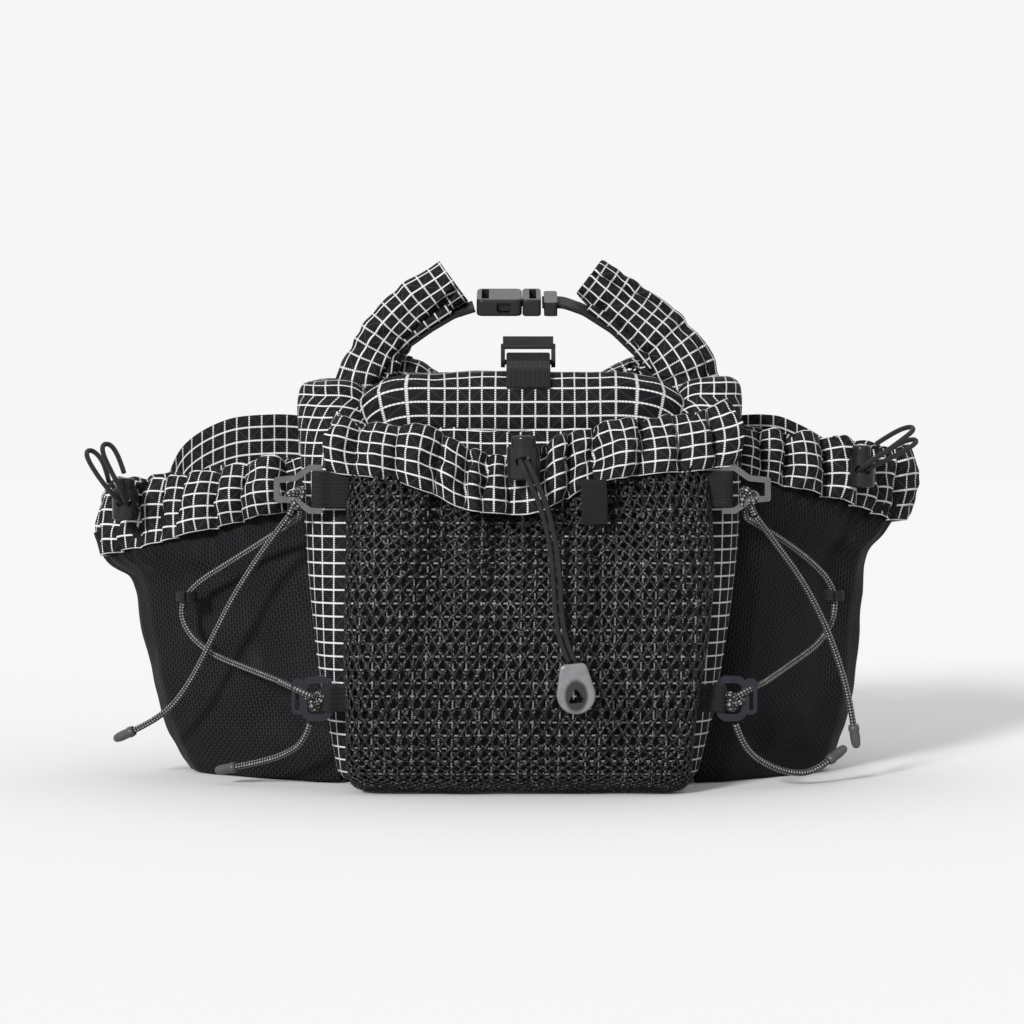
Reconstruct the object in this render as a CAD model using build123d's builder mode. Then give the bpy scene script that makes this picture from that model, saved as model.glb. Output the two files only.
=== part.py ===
from build123d import *
import math
import os

# Waist pack: roll-top bag, front net pocket, two side pockets, hip belt buckled behind.
# Millimetres, +Z up, +X to the bag's right as seen from the front, +Y towards the wearer.
# The pieces are drawn about the main bag's centre line and then moved by TO_ORIGIN, so that the
# origin is on the floor under the middle of the whole pack.

# ---- reach of the whole pack, about the bag's centre line ----
LEFT_REACH = -205.1
RIGHT_REACH = 197.3
FRONT_REACH = -94.1
REAR_REACH = 180.5
TO_ORIGIN = Location((-(LEFT_REACH + RIGHT_REACH) / 2, -(FRONT_REACH + REAR_REACH) / 2, 0))

# ---- materials' thicknesses and clearances ----
FABRIC = 1.6
NET = 1.4
GATHER = 5.0
WEBBING = 1.6
GAP = 0.4

# ---- main bag: height, left, right, front, back, corner radius ----
BAG_SECTIONS = (
    (1.4, -87.0, 87.0, -50.0, 46.0, 20.0),
    (60.0, -96.0, 98.0, -57.0, 50.0, 20.0),
    (112.0, -101.0, 105.0, -58.0, 50.0, 20.0),
    (155.0, -104.0, 107.0, -54.0, 47.0, 18.0),
    (192.0, -106.0, 107.0, -30.0, 32.0, 14.0),
)
BASE_THICKNESS = 3.0

# ---- rolled top between the two shoulders ----
ROLL_HALF = 62.0
ROLL_FRONT, ROLL_BACK = -47.0, 16.0
ROLL_LOW, ROLL_HIGH = 163.0, 198.0
ROLL_RADIUS = 15.0

# ---- the roll's ends, bent up and inwards ----
END_DEPTH = 32.0
END_HEIGHT = 21.0
END_Y = 2.0
LEFT_END = ((-84, END_Y, 193.5), (-79, END_Y, 205), (-67, END_Y, 219), (-50, END_Y, 231), (-31, END_Y, 242.5))
RIGHT_END = ((88, END_Y, 193.5), (83, END_Y, 203), (71, END_Y, 216), (54, END_Y, 230), (35, END_Y, 244))

# ---- side-release buckles ----
BUCKLE_WIDTH = 25.0
BUCKLE_THICKNESS = 8.4
SOCKET_LENGTH = 22.0
CAVITY_DEPTH = 14.5
ARM_LENGTH = 12.4
ROLL_BUCKLE_MOUTH = (2.0, END_Y - 1.0, 232.0)
ROLL_BUCKLE_LEAN = 15.0
BELT_BUCKLE_MOUTH = (2.0, REAR_REACH - BUCKLE_THICKNESS / 2, 110.0)

# ---- draw cords and their locks ----
DRAW_CORD = 2.4
BARREL_HEIGHT = 15.0
BARREL_WALL = 1.5
BARREL_HOLE_HEIGHT = 8.5
PLUNGER_TRAVEL = 2.5
PLUNGER_RISE = 5.5
SPRING_HEIGHT = 4.0
SPRING_WIRE = 0.5

# ---- webbing tabs and hooks ----
UPPER_TAB_WIDTH = 18.0
LOWER_TAB_WIDTH = 12.0
TAB_THICKNESS = 3.2
HOOK_PLATE = 2.6
HOOK_BAR = 2.8
LOOP_BORE = 2.4

# ---- shock cord ----
BUNGEE = 3.0
CORD_END_LENGTH = 10.0
CORD_END_RADIUS = 2.7

os.makedirs("parts", exist_ok=True)


def save(builder, name):
    """Moves a finished piece to the pack's origin, labels it and writes it."""
    piece = builder.part.moved(TO_ORIGIN)
    piece.label = name
    export_step(piece, f"parts/{name}.step")


# =====================================================================================
# Main bag
# =====================================================================================


def tapered_solid(sections, inset=0.0):
    """A solid lofted through horizontal rounded rectangles, each drawn inset from its outline."""
    with BuildPart() as solid:
        for height, left, right, front, back, radius in sections:
            with BuildSketch(Plane.XY.offset(height)):
                with Locations(((left + right) / 2, (front + back) / 2)):
                    RectangleRounded(right - left - 2 * inset, back - front - 2 * inset, radius - inset)
        loft()
    return solid.part


bag_outside = tapered_solid(BAG_SECTIONS)
bag_inside = tapered_solid(BAG_SECTIONS, FABRIC)
bag_with_gap = tapered_solid(BAG_SECTIONS, -GAP)

with BuildPart() as main_bag:
    add(bag_outside)
    add(bag_inside, mode=Mode.SUBTRACT)
    # the floor of the bag
    floor_height, floor_left, floor_right, floor_front, floor_back, floor_radius = BAG_SECTIONS[0]
    with BuildSketch(Plane.XY.offset(floor_height)):
        with Locations(((floor_left + floor_right) / 2, (floor_front + floor_back) / 2)):
            RectangleRounded(floor_right - floor_left, floor_back - floor_front, floor_radius)
    extrude(amount=FABRIC)
    # the notch between the shoulders that the rolled top fills
    with BuildSketch(Plane.XY.offset(ROLL_LOW - GAP)):
        with Locations((0, (ROLL_FRONT + ROLL_BACK) / 2 - 10)):
            Rectangle(2 * ROLL_HALF + 2 * GAP, ROLL_BACK - ROLL_FRONT + 20 + 2 * GAP)
    extrude(amount=60, mode=Mode.SUBTRACT)
save(main_bag, "main_bag")

with BuildPart() as base_panel:
    with BuildSketch(Plane.XY.offset(floor_height + FABRIC + GAP)):
        with Locations((0, -2)):
            RectangleRounded(166, 88, 17)
    extrude(amount=BASE_THICKNESS)
save(base_panel, "base_panel")

with BuildPart() as roll_top:
    with BuildSketch(Plane.YZ.offset(-ROLL_HALF)):
        with Locations(((ROLL_FRONT + ROLL_BACK) / 2, (ROLL_LOW + ROLL_HIGH) / 2)):
            RectangleRounded(ROLL_BACK - ROLL_FRONT, ROLL_HIGH - ROLL_LOW, ROLL_RADIUS)
    extrude(amount=2 * ROLL_HALF)
    # the slot that the stiffener strip lies in
    with BuildSketch(Plane.YZ.offset(-ROLL_HALF + 4)):
        with Locations(((ROLL_FRONT + ROLL_BACK) / 2, (ROLL_LOW + ROLL_HIGH) / 2)):
            Rectangle(31, 3)
    extrude(amount=2 * ROLL_HALF - 8, mode=Mode.SUBTRACT)
save(roll_top, "roll_top")

with BuildPart() as roll_stiffener:
    with BuildSketch(Plane.YZ.offset(-ROLL_HALF + 5)):
        with Locations(((ROLL_FRONT + ROLL_BACK) / 2, (ROLL_LOW + ROLL_HIGH) / 2)):
            RectangleRounded(30, 2, 0.6)
    extrude(amount=2 * ROLL_HALF - 10)
save(roll_stiffener, "roll_stiffener")


def roll_end(route, name):
    """One end of the roll: a flattened tube of fabric swept up and inwards."""
    with BuildPart() as end:
        with BuildLine() as spine:
            FilletPolyline(*route, radius=12)
        start = Plane(origin=spine.line @ 0, x_dir=(0, 1, 0), z_dir=spine.line % 0)
        with BuildSketch(start):
            RectangleRounded(END_DEPTH, END_HEIGHT, END_HEIGHT / 2 - 1.5)
        sweep(path=spine.line)
        # the foot is cut level, just above the shoulder
        split(bisect_by=Plane.XY.offset(BAG_SECTIONS[-1][0] + 2 * GAP), keep=Keep.TOP)
    save(end, name)


roll_end(LEFT_END, "roll_end_left")
roll_end(RIGHT_END, "roll_end_right")


def ribbon(route, width, thickness, across, bend=3.0):
    """A flat strap: a rectangular section swept along a route, its width along across."""
    with BuildPart() as strap:
        with BuildLine() as line:
            FilletPolyline(*route, radius=bend)
        start = Plane(origin=line.line @ 0, x_dir=across, z_dir=line.line % 0)
        with BuildSketch(start):
            Rectangle(width, thickness)
        sweep(path=line.line)
    return strap


# =====================================================================================
# Buckles: a socket, a plug with its blade, and two arms that bend inwards
# =====================================================================================


def buckle_socket(frame, name):
    """The female half, with its mouth at the frame's origin and its strap slot at the far end."""
    with BuildPart() as socket:
        with BuildSketch(frame):
            with Locations((-SOCKET_LENGTH / 2, 0)):
                RectangleRounded(SOCKET_LENGTH, BUCKLE_WIDTH, 3)
        extrude(amount=BUCKLE_THICKNESS / 2, both=True)
        rims = faces().filter_by(Axis(frame.origin, frame.z_dir))
        fillet(rims.edges(), 1.2)
        # cavity for the plug
        with BuildSketch(Plane(origin=frame.origin, x_dir=frame.y_dir, z_dir=-frame.x_dir)):
            Rectangle(BUCKLE_WIDTH - 4, BUCKLE_THICKNESS - 3)
        extrude(amount=CAVITY_DEPTH, mode=Mode.SUBTRACT)
        # side windows where the arms are pressed
        with BuildSketch(Plane(origin=frame.origin, x_dir=frame.x_dir, z_dir=frame.y_dir)):
            with Locations((-CAVITY_DEPTH / 2 - 1.5, 0)):
                RectangleRounded(7, BUCKLE_THICKNESS - 3.4, 1.5)
        extrude(amount=BUCKLE_WIDTH, both=True, mode=Mode.SUBTRACT)
        # slot for the strap
        with BuildSketch(frame):
            with Locations((-SOCKET_LENGTH + 4.2, 0)):
                Rectangle(3.6, BUCKLE_WIDTH - 5)
        extrude(amount=BUCKLE_THICKNESS, both=True, mode=Mode.SUBTRACT)
    save(socket, name)


def buckle_plug(frame, name, strap_channel):
    """The male half: a base with a strap slot, or a strap channel under it, and a guide blade."""
    base_length = 9.0
    with BuildPart() as plug:
        with BuildSketch(frame):
            with Locations((base_length / 2 + 0.3, 0)):
                RectangleRounded(base_length, BUCKLE_WIDTH, 2)
        extrude(amount=BUCKLE_THICKNESS / 2, both=True)
        rims = faces().filter_by(Axis(frame.origin, frame.z_dir))
        fillet(rims.edges(), 1.0)
        # guide blade in the middle of the socket
        with BuildSketch(frame):
            with Locations((-ARM_LENGTH / 2 + 0.5, 0)):
                RectangleRounded(ARM_LENGTH, 5, 1.5)
        extrude(amount=1.6, both=True)
        if strap_channel:
            # the belt's strap runs straight through, behind the blade
            with BuildSketch(Plane(origin=frame.origin, x_dir=frame.y_dir, z_dir=frame.x_dir)):
                with Locations((0, strap_channel)):
                    Rectangle(BUCKLE_WIDTH - 4, WEBBING + 0.8)
            extrude(amount=base_length + 1, mode=Mode.SUBTRACT)
        else:
            with BuildSketch(frame):
                with Locations((base_length / 2 + 0.8, 0)):
                    Rectangle(3.4, BUCKLE_WIDTH - 5)
            extrude(amount=BUCKLE_THICKNESS, both=True, mode=Mode.SUBTRACT)
    save(plug, name)


def buckle_arm(frame, side, name):
    """One springy arm of the plug, a little inside the socket's side wall."""
    inner, outer = 7.4, 10.0
    with BuildPart() as arm:
        with BuildSketch(frame):
            with Locations((-ARM_LENGTH / 2, side * (inner + outer) / 2)):
                RectangleRounded(ARM_LENGTH, outer - inner, 1.0)
        extrude(amount=1.9, both=True)
    save(arm, name)


lean = math.radians(ROLL_BUCKLE_LEAN)
roll_frame = Plane(origin=ROLL_BUCKLE_MOUTH, x_dir=(1, 0, 0), z_dir=(0, -math.sin(lean), math.cos(lean)))
belt_frame = Plane(origin=BELT_BUCKLE_MOUTH, x_dir=(1, 0, 0), z_dir=(0, -1, 0))
BELT_STRAP_OFFSET = -3.0

buckle_socket(roll_frame, "roll_buckle_socket")
buckle_plug(roll_frame, "roll_buckle_plug", None)
buckle_arm(roll_frame, 1, "roll_buckle_arm_rear")
buckle_arm(roll_frame, -1, "roll_buckle_arm_front")
buckle_socket(belt_frame, "belt_buckle_socket")
buckle_plug(belt_frame, "belt_buckle_plug", BELT_STRAP_OFFSET)
buckle_arm(belt_frame, 1, "belt_buckle_arm_upper")
buckle_arm(belt_frame, -1, "belt_buckle_arm_lower")

# the webbing under each end of the roll, up to its half of the buckle
STRAP_Y = ROLL_BUCKLE_MOUTH[1]
strap_across = roll_frame.y_dir
left_strap_route = ((-56, STRAP_Y, 206.5), (-42.5, STRAP_Y, 218.3), (-31, STRAP_Y, 226.6), (-21.2, STRAP_Y, 230.2))
roll_strap_left = ribbon(left_strap_route, 19, WEBBING, strap_across, 6)
save(roll_strap_left, "roll_strap_left")
right_strap_route = ((11.7, STRAP_Y, 232), (24, STRAP_Y, 231), (35, STRAP_Y, 226.2), (56, STRAP_Y, 207.5))
roll_strap_right = ribbon(right_strap_route, 19, WEBBING, strap_across, 6)
save(roll_strap_right, "roll_strap_right")

with BuildPart() as roll_strap_slider:
    slider_plane = Plane(origin=(16, STRAP_Y, 231.4), x_dir=(1, 0, 0), z_dir=roll_frame.z_dir)
    with BuildSketch(slider_plane):
        RectangleRounded(6.5, BUCKLE_WIDTH, 2)
    extrude(amount=3.4, both=True)
    with BuildSketch(Plane(origin=slider_plane.origin, x_dir=slider_plane.y_dir, z_dir=slider_plane.x_dir)):
        Rectangle(20, WEBBING + 2.2)
    extrude(amount=6, both=True, mode=Mode.SUBTRACT)
save(roll_strap_slider, "roll_strap_slider")

# =====================================================================================
# Strap over the roll, with its gated hook
# =====================================================================================

HOOK_BAR_Y, HOOK_BAR_Z = -14.0, 202.6
TOP_STRAP_WIDTH = 22.0
TOP_STRAP_X = 5.0
strap_line = (
    (TOP_STRAP_X, ROLL_FRONT - 1.6, 180),
    (TOP_STRAP_X, ROLL_FRONT - 1.8, 191),
    (TOP_STRAP_X, ROLL_FRONT + 9, ROLL_HIGH + 3.0),
    (TOP_STRAP_X, HOOK_BAR_Y - 9, ROLL_HIGH + 1.8),
    (TOP_STRAP_X, HOOK_BAR_Y - 3, ROLL_HIGH + 8.2),
    (TOP_STRAP_X, HOOK_BAR_Y + 3, ROLL_HIGH + 8.2),
    (TOP_STRAP_X, HOOK_BAR_Y + 9, ROLL_HIGH + 2.0),
    (TOP_STRAP_X, ROLL_BACK - 10, ROLL_HIGH + 1.4),
)
top_strap = ribbon(strap_line, TOP_STRAP_WIDTH, WEBBING, (1, 0, 0), 1.8)
save(top_strap, "top_strap")

with BuildPart() as top_strap_hook:
    cheek = TOP_STRAP_WIDTH / 2 + 1.2
    bar_axis = Plane(origin=(TOP_STRAP_X - cheek, HOOK_BAR_Y, HOOK_BAR_Z), z_dir=(1, 0, 0))
    with BuildSketch(bar_axis):
        Circle(1.3)
    extrude(amount=2 * cheek)
    # the two cheeks beside the webbing
    for side_x in (-cheek - 1, cheek - 1):
        with BuildSketch(Plane.YZ.offset(TOP_STRAP_X + side_x)):
            with Locations((HOOK_BAR_Y, HOOK_BAR_Z + 3.2)):
                RectangleRounded(8.5, 11.5, 3.5)
        extrude(amount=2)
    # the plate over the webbing and the curled lip of the gate
    with BuildSketch(Plane.YZ.offset(TOP_STRAP_X - cheek)):
        with Locations((HOOK_BAR_Y - 0.5, HOOK_BAR_Z + 7.4)):
            RectangleRounded(8, 2.2, 1)
        with Locations((HOOK_BAR_Y + 3, HOOK_BAR_Z + 9.6)):
            RectangleRounded(2.2, 6, 1)
    extrude(amount=2 * cheek)
save(top_strap_hook, "top_strap_hook")

# =====================================================================================
# Front net pocket, its gathered cuff and draw cord
# =====================================================================================

NET_SECTIONS = (
    (0.0, -75.0, 77.0, -74.0, -20.0, 10.0),
    (16.0, -80.0, 81.0, -86.0, -20.0, 12.0),
    (55.0, -81.0, 86.0, -88.0, -20.0, 14.0),
    (105.0, -81.0, 91.0, -86.0, -20.0, 14.0),
    (152.0, -80.5, 87.0, -74.0, -20.0, 12.0),
)

net_outside = tapered_solid(NET_SECTIONS)
net_inside = tapered_solid(NET_SECTIONS, NET)
net_with_gap = tapered_solid(NET_SECTIONS, -GAP)

with BuildPart() as front_net_pocket:
    add(net_outside)
    add(net_inside, mode=Mode.SUBTRACT)
    add(bag_with_gap, mode=Mode.SUBTRACT)
    # the net wraps under the front of the bag
    with BuildSketch(Plane.XY):
        with Locations((1, -47)):
            RectangleRounded(150, 50, 8)
    extrude(amount=1.0)
save(front_net_pocket, "front_net_pocket")

CUFF_FRONT = -78.0
with BuildPart() as front_cuff:
    with BuildSketch(Plane.XZ.offset(-CUFF_FRONT)):
        with BuildLine():
            ThreePointArc((-86, 181), (4, 168), (93, 181))
            Line((93, 181), (93, 153))
            ThreePointArc((93, 153), (4, 137), (-86, 153))
            Line((-86, 153), (-86, 181))
        make_face()
    extrude(amount=-22)
    # only a band of gathered fabric stays, open behind
    with BuildSketch(Plane.XY.offset(130)):
        with Locations((3.5, CUFF_FRONT + GATHER + 15)):
            Rectangle(179 - 2 * GATHER, 30)
    extrude(amount=60, mode=Mode.SUBTRACT)
    add(bag_with_gap, mode=Mode.SUBTRACT)
    add(net_with_gap, mode=Mode.SUBTRACT)
save(front_cuff, "front_cuff")

with BuildPart() as label_tab:
    with BuildSketch(Plane.XZ.offset(86.6)):
        with Locations((35, 137)):
            RectangleRounded(17, 21, 1)
    extrude(amount=1.2)
save(label_tab, "label_tab")


def upright_plane(place, height):
    """The plane, facing the wearer, that a lock's oval cord hole is drawn on."""
    return Plane(origin=(*place, height), x_dir=(1, 0, 0), z_dir=(0, 1, 0))


def cord_lock(place, floor, radius, label):
    """A barrel lock: hollow barrel, plunger held up by a spring, and a hole across both."""
    with BuildPart() as barrel:
        with BuildSketch(Plane.XY.offset(floor)):
            with Locations(place):
                Circle(radius)
        extrude(amount=BARREL_HEIGHT)
        fillet(edges().group_by(Axis.Z)[0], 1.2)
        with BuildSketch(Plane.XY.offset(floor + 2)):
            with Locations(place):
                Circle(radius - BARREL_WALL)
        extrude(amount=BARREL_HEIGHT, mode=Mode.SUBTRACT)
        with BuildSketch(upright_plane(place, floor + BARREL_HOLE_HEIGHT)):
            SlotOverall(7.4, 4.6)
        extrude(amount=radius + 1, both=True, mode=Mode.SUBTRACT)
    save(barrel, f"{label}_barrel")

    plunger_floor = floor + 2 + SPRING_HEIGHT
    plunger_top = floor + BARREL_HEIGHT + PLUNGER_RISE
    with BuildPart() as plunger:
        with BuildSketch(Plane.XY.offset(plunger_floor)):
            with Locations(place):
                Circle(radius - BARREL_WALL - 0.3)
        extrude(amount=plunger_top - plunger_floor)
        fillet(edges().group_by(Axis.Z)[-1], 1.6)
        with BuildSketch(upright_plane(place, floor + BARREL_HOLE_HEIGHT + PLUNGER_TRAVEL)):
            SlotOverall(7.0, 4.6)
        extrude(amount=radius + 1, both=True, mode=Mode.SUBTRACT)
    save(plunger, f"{label}_plunger")


FRONT_LOCK = (2.5, -86.5)
FRONT_LOCK_FLOOR = 147.5
FRONT_LOCK_RADIUS = 7.6
LEFT_LOCK = (-191.0, -8.0)
LEFT_LOCK_FLOOR = 126.0
RIGHT_LOCK = (166.5, -15.0)
RIGHT_LOCK_FLOOR = 142.0
SIDE_LOCK_RADIUS = 6.4
cord_lock(FRONT_LOCK, FRONT_LOCK_FLOOR, FRONT_LOCK_RADIUS, "front_lock")
cord_lock(LEFT_LOCK, LEFT_LOCK_FLOOR, SIDE_LOCK_RADIUS, "side_lock_left")
cord_lock(RIGHT_LOCK, RIGHT_LOCK_FLOOR, SIDE_LOCK_RADIUS, "side_lock_right")

LOCKS = (
    (FRONT_LOCK, FRONT_LOCK_FLOOR, FRONT_LOCK_RADIUS),
    (LEFT_LOCK, LEFT_LOCK_FLOOR, SIDE_LOCK_RADIUS),
    (RIGHT_LOCK, RIGHT_LOCK_FLOOR, SIDE_LOCK_RADIUS),
)
with BuildPart() as lock_springs:
    for (x, y), floor, radius in LOCKS:
        coil_floor = floor + 2 + SPRING_WIRE / 2 + 0.1
        with BuildLine(Plane((x, y, coil_floor))) as coil:
            Helix(pitch=1.4, height=SPRING_HEIGHT - SPRING_WIRE - 0.2, radius=radius - BARREL_WALL - 1.5)
        with BuildSketch(Plane(origin=coil.line @ 0, z_dir=coil.line % 0)):
            Circle(SPRING_WIRE / 2)
        sweep(path=coil.line, is_frenet=True)
save(lock_springs, "lock_springs")


def turn_angle(before, point, after):
    """How far the route turns at a point, in degrees."""
    return (Vector(point) - Vector(before)).get_angle(Vector(after) - Vector(point))


def bend_radii(route):
    """Each corner's radius: 0.45 of the shorter run, divided by the tangent of half the turn."""
    radii = []
    for before, point, after in zip(route, route[1:], route[2:]):
        shorter = min((Vector(point) - Vector(before)).length, (Vector(after) - Vector(point)).length)
        half_turn = math.radians(turn_angle(before, point, after) / 2)
        radii.append(0.45 * shorter / math.tan(half_turn))
    return radii


def cord(route, diameter, name):
    """A cord laid along a route of straight runs joined by tangent arcs."""
    radii = bend_radii(route)
    with BuildPart() as tube:
        with BuildLine() as path:
            FilletPolyline(*route, radius=radii)
        with BuildSketch(Plane(origin=path.line @ 0, z_dir=path.line % 0)):
            Circle(diameter / 2)
        sweep(path=path.line)
    save(tube, name)


# the doubled cord from the front lock down to its pull tab
FRONT_CORD_LEFT = (
    (1.1, -93.0, 156.0),
    (2.2, -97.0, 153.6),
    (5.0, -98.8, 147.5),
    (9.5, -98.6, 138.0),
    (14.0, -97.4, 122.0),
    (16.4, -96.2, 103.0),
    (17.0, -95.2, 85.5),
    (19.6, -94.2, 71.5),
    (23.6, -93.6, 63.4),
)
STRAND_STEP = (2.9, 0.0, 0.3)
FRONT_CORD_RIGHT = [tuple(a + b for a, b in zip(point, STRAND_STEP)) for point in FRONT_CORD_LEFT]
cord(FRONT_CORD_LEFT, DRAW_CORD, "front_cord_left")
cord(FRONT_CORD_RIGHT, DRAW_CORD, "front_cord_right")

with BuildPart() as pull_tab:
    tab_plane = Plane(origin=(26.5, -90.8, 51.4), x_dir=(1, 0, 0.1), z_dir=(0, -1, 0))
    with BuildSketch(tab_plane):
        with Locations((0, -3.0)):
            Circle(9.0)
        with Locations((0, 6.5)):
            RectangleRounded(13, 10, 3)
        make_hull()
    extrude(amount=4.8)
    fillet(faces().filter_by(Axis.Y).edges(), 1.2)
    with BuildSketch(tab_plane):
        with Locations((0, -4.2)):
            RegularPolygon(5.0, 3, rotation=90)
        fillet(vertices(), 1)
    extrude(amount=8, both=True, mode=Mode.SUBTRACT)
save(pull_tab, "pull_tab")

# =====================================================================================
# Side pockets
# =====================================================================================

POCKET_FRONT, POCKET_CORNER, POCKET_BACK = -34.0, 6.0, 50.0


def side_solid(side, levels, outset):
    """A side pocket's bulk, lofted: its front leans back towards the outer edge."""
    with BuildPart() as solid:
        for height, inner, outer in levels:
            corners = (
                (side * inner, POCKET_FRONT),
                (side * (outer - 12), POCKET_CORNER),
                (side * outer, POCKET_CORNER + 19),
                (side * (outer - 6), POCKET_BACK),
                (side * inner, POCKET_BACK),
            )
            with BuildSketch(Plane.XY.offset(height)):
                with BuildLine():
                    Polyline(*corners, close=True)
                make_face()
                fillet(vertices(), 9)
                if outset:
                    offset(amount=outset, mode=Mode.REPLACE)
        loft()
    return solid.part


def side_pocket(side, levels, seam_inner, seam_outer, rim_inner, rim_outer, label):
    """A mesh pocket and the gathered cuff on it, parted by a sloping seam."""
    floor, low_inner, low_outer = levels[0]
    inner, outer = levels[-1][1], levels[-1][2]
    slope = side * (seam_outer - seam_inner) / (outer - inner)
    rim_slope = side * (rim_outer - rim_inner) / (outer - inner)
    seam = Plane(origin=(side * inner, 0, seam_inner), x_dir=(1, 0, slope), z_dir=(-slope, 0, 1))
    rim = Plane(origin=(side * inner, 0, rim_inner), x_dir=(1, 0, rim_slope), z_dir=(-rim_slope, 0, 1))
    mesh_outside = side_solid(side, levels, 0)
    mesh_inside = side_solid(side, levels, -NET)
    cuff_outside = side_solid(side, levels, CUFF_SWELL)
    cuff_inside = side_solid(side, levels, CUFF_SWELL - GATHER)
    with BuildPart() as pocket:
        add(mesh_outside)
        with BuildSketch(Plane.XY.offset(floor + NET)):
            Rectangle(500, 300)
        cavity = extrude(amount=300, mode=Mode.PRIVATE)
        add(mesh_inside & cavity, mode=Mode.SUBTRACT)
        split(bisect_by=seam.offset(-GAP), keep=Keep.BOTTOM)
    save(pocket, f"side_pocket_{label}")
    with BuildPart() as cuff:
        add(cuff_outside)
        add(cuff_inside, mode=Mode.SUBTRACT)
        split(bisect_by=seam, keep=Keep.TOP)
        split(bisect_by=rim, keep=Keep.BOTTOM)
    save(cuff, f"side_cuff_{label}")


CUFF_SWELL = GATHER - 1.5
LEFT_LEVELS = (
    (0.8, 93.0, 160.0),
    (60.0, 103.5, 184.0),
    (105.0, 110.5, 200.0),
    (135.0, 113.5, 202.0),
    (180.0, 115.5, 194.0),
)
RIGHT_LEVELS = (
    (0.8, 93.0, 154.0),
    (60.0, 104.5, 172.0),
    (105.0, 111.5, 181.0),
    (145.0, 115.0, 193.1),
    (185.0, 116.5, 185.1),
)
side_pocket(-1, LEFT_LEVELS, 134, 107, 156, 142, "left")
side_pocket(1, RIGHT_LEVELS, 150, 124, 171, 160, "right")


# the gridstop wall behind each side pocket, which rises above its cuff
with BuildPart() as side_backs:
    for side, reach in ((-1, 182), (1, 172)):
        with BuildSketch(Plane.XZ.offset(-56.6)):
            with BuildLine():
                Polyline(
                    (side * 106, 60),
                    (side * 106, 175),
                    (side * (reach - 32), 173),
                    (side * (reach - 12), 158),
                    (side * reach, 120),
                    (side * reach, 60),
                    close=True,
                )
            make_face()
            fillet(vertices(), 6)
        extrude(amount=FABRIC)
save(side_backs, "side_backs")

# loops of the side draw cords, standing out of the locks
SIDE_LOOPS = {
    "side_cord_left_a": (
        (-192.6, -13.6, 134.5),
        (-196.5, -17.5, 139.0),
        (-203.0, -18.5, 147.5),
        (-208.6, -17.0, 156.5),
        (-208.8, -13.4, 160.2),
        (-205.0, -10.6, 159.2),
        (-200.4, -10.4, 152.6),
        (-198.8, -8.6, 144.0),
    ),
    "side_cord_left_b": (
        (-189.8, -14.2, 134.5),
        (-191.0, -18.0, 139.2),
        (-195.4, -20.4, 148.0),
        (-200.6, -20.0, 158.6),
        (-200.8, -16.4, 163.2),
        (-197.0, -13.4, 162.8),
        (-193.0, -14.0, 156.0),
        (-190.6, -16.2, 149.0),
    ),
    "side_cord_right_a": (
        (168.1, -20.6, 150.5),
        (172.3, -24.0, 152.8),
        (179.5, -24.6, 156.4),
        (189.1, -22.6, 161.4),
        (193.1, -19.0, 164.4),
        (190.9, -15.6, 165.6),
        (183.1, -15.4, 162.6),
        (175.1, -15.6, 157.4),
    ),
    "side_cord_right_b": (
        (165.1, -20.6, 150.5),
        (167.7, -25.4, 153.4),
        (175.1, -28.4, 158.4),
        (185.5, -28.0, 166.0),
        (190.9, -24.4, 170.0),
        (189.3, -20.6, 171.8),
        (181.5, -19.6, 168.8),
        (172.9, -19.4, 163.0),
    ),
}
for loop_name, loop_route in SIDE_LOOPS.items():
    cord(loop_route, DRAW_CORD, loop_name)

# =====================================================================================
# Webbing tabs and hooks at the bag's front edges
# =====================================================================================

UPPER_HOOK_HEIGHT = 23.0
# each hook's bar: distance out from the centre line, depth and height, and where its tab ends
UPPER_BARS = {-1: (93.0, -65.0, 142.5, 82.6), 1: (97.0, -65.0, 142.5, 91.4)}
LOWER_BARS = {-1: (88.5, -63.5, 44.0, 82.4), 1: (94.5, -63.5, 44.0, 86.5)}

with BuildPart() as hook_tabs:
    for bars, width in ((UPPER_BARS, UPPER_TAB_WIDTH - 1), (LOWER_BARS, LOWER_TAB_WIDTH)):
        for side, (x, y, z, tail) in bars.items():
            # a loop of webbing round the hook's bar and a flat tail along the bag
            with BuildSketch(Plane.XY.offset(z - width / 2)):
                with Locations((side * x, y)):
                    Circle(LOOP_BORE + WEBBING)
                with Locations((side * (x + tail) / 2, y)):
                    Rectangle(x - tail, TAB_THICKNESS)
                with Locations((side * x, y)):
                    Circle(LOOP_BORE, mode=Mode.SUBTRACT)
            extrude(amount=width)
save(hook_tabs, "hook_tabs")


def upper_hook(side, name):
    """A metal hook: a wide end on the webbing and a narrower keyhole nose for the cord."""
    x, y, z = UPPER_BARS[side][:3]
    half = UPPER_HOOK_HEIGHT / 2
    bar_edge = HOOK_BAR / 2
    with BuildPart() as hook:
        with BuildSketch(Plane.XZ.offset(-y - HOOK_PLATE / 2)):
            with BuildLine():
                Polyline(
                    (side * (x - bar_edge), z - half),
                    (side * (x + 5), z - half),
                    (side * (x + 12), z - 6.5),
                    (side * (x + 21.5), z - 5.6),
                    (side * (x + 21.5), z + 5.6),
                    (side * (x + 12), z + 6.5),
                    (side * (x + 5), z + half),
                    (side * (x - bar_edge), z + half),
                    close=True,
                )
            make_face()
            fillet(vertices(), 1.2)
            offset(amount=-HOOK_BAR, kind=Kind.INTERSECTION, mode=Mode.SUBTRACT)
        extrude(amount=HOOK_PLATE)
    save(hook, name)


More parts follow.
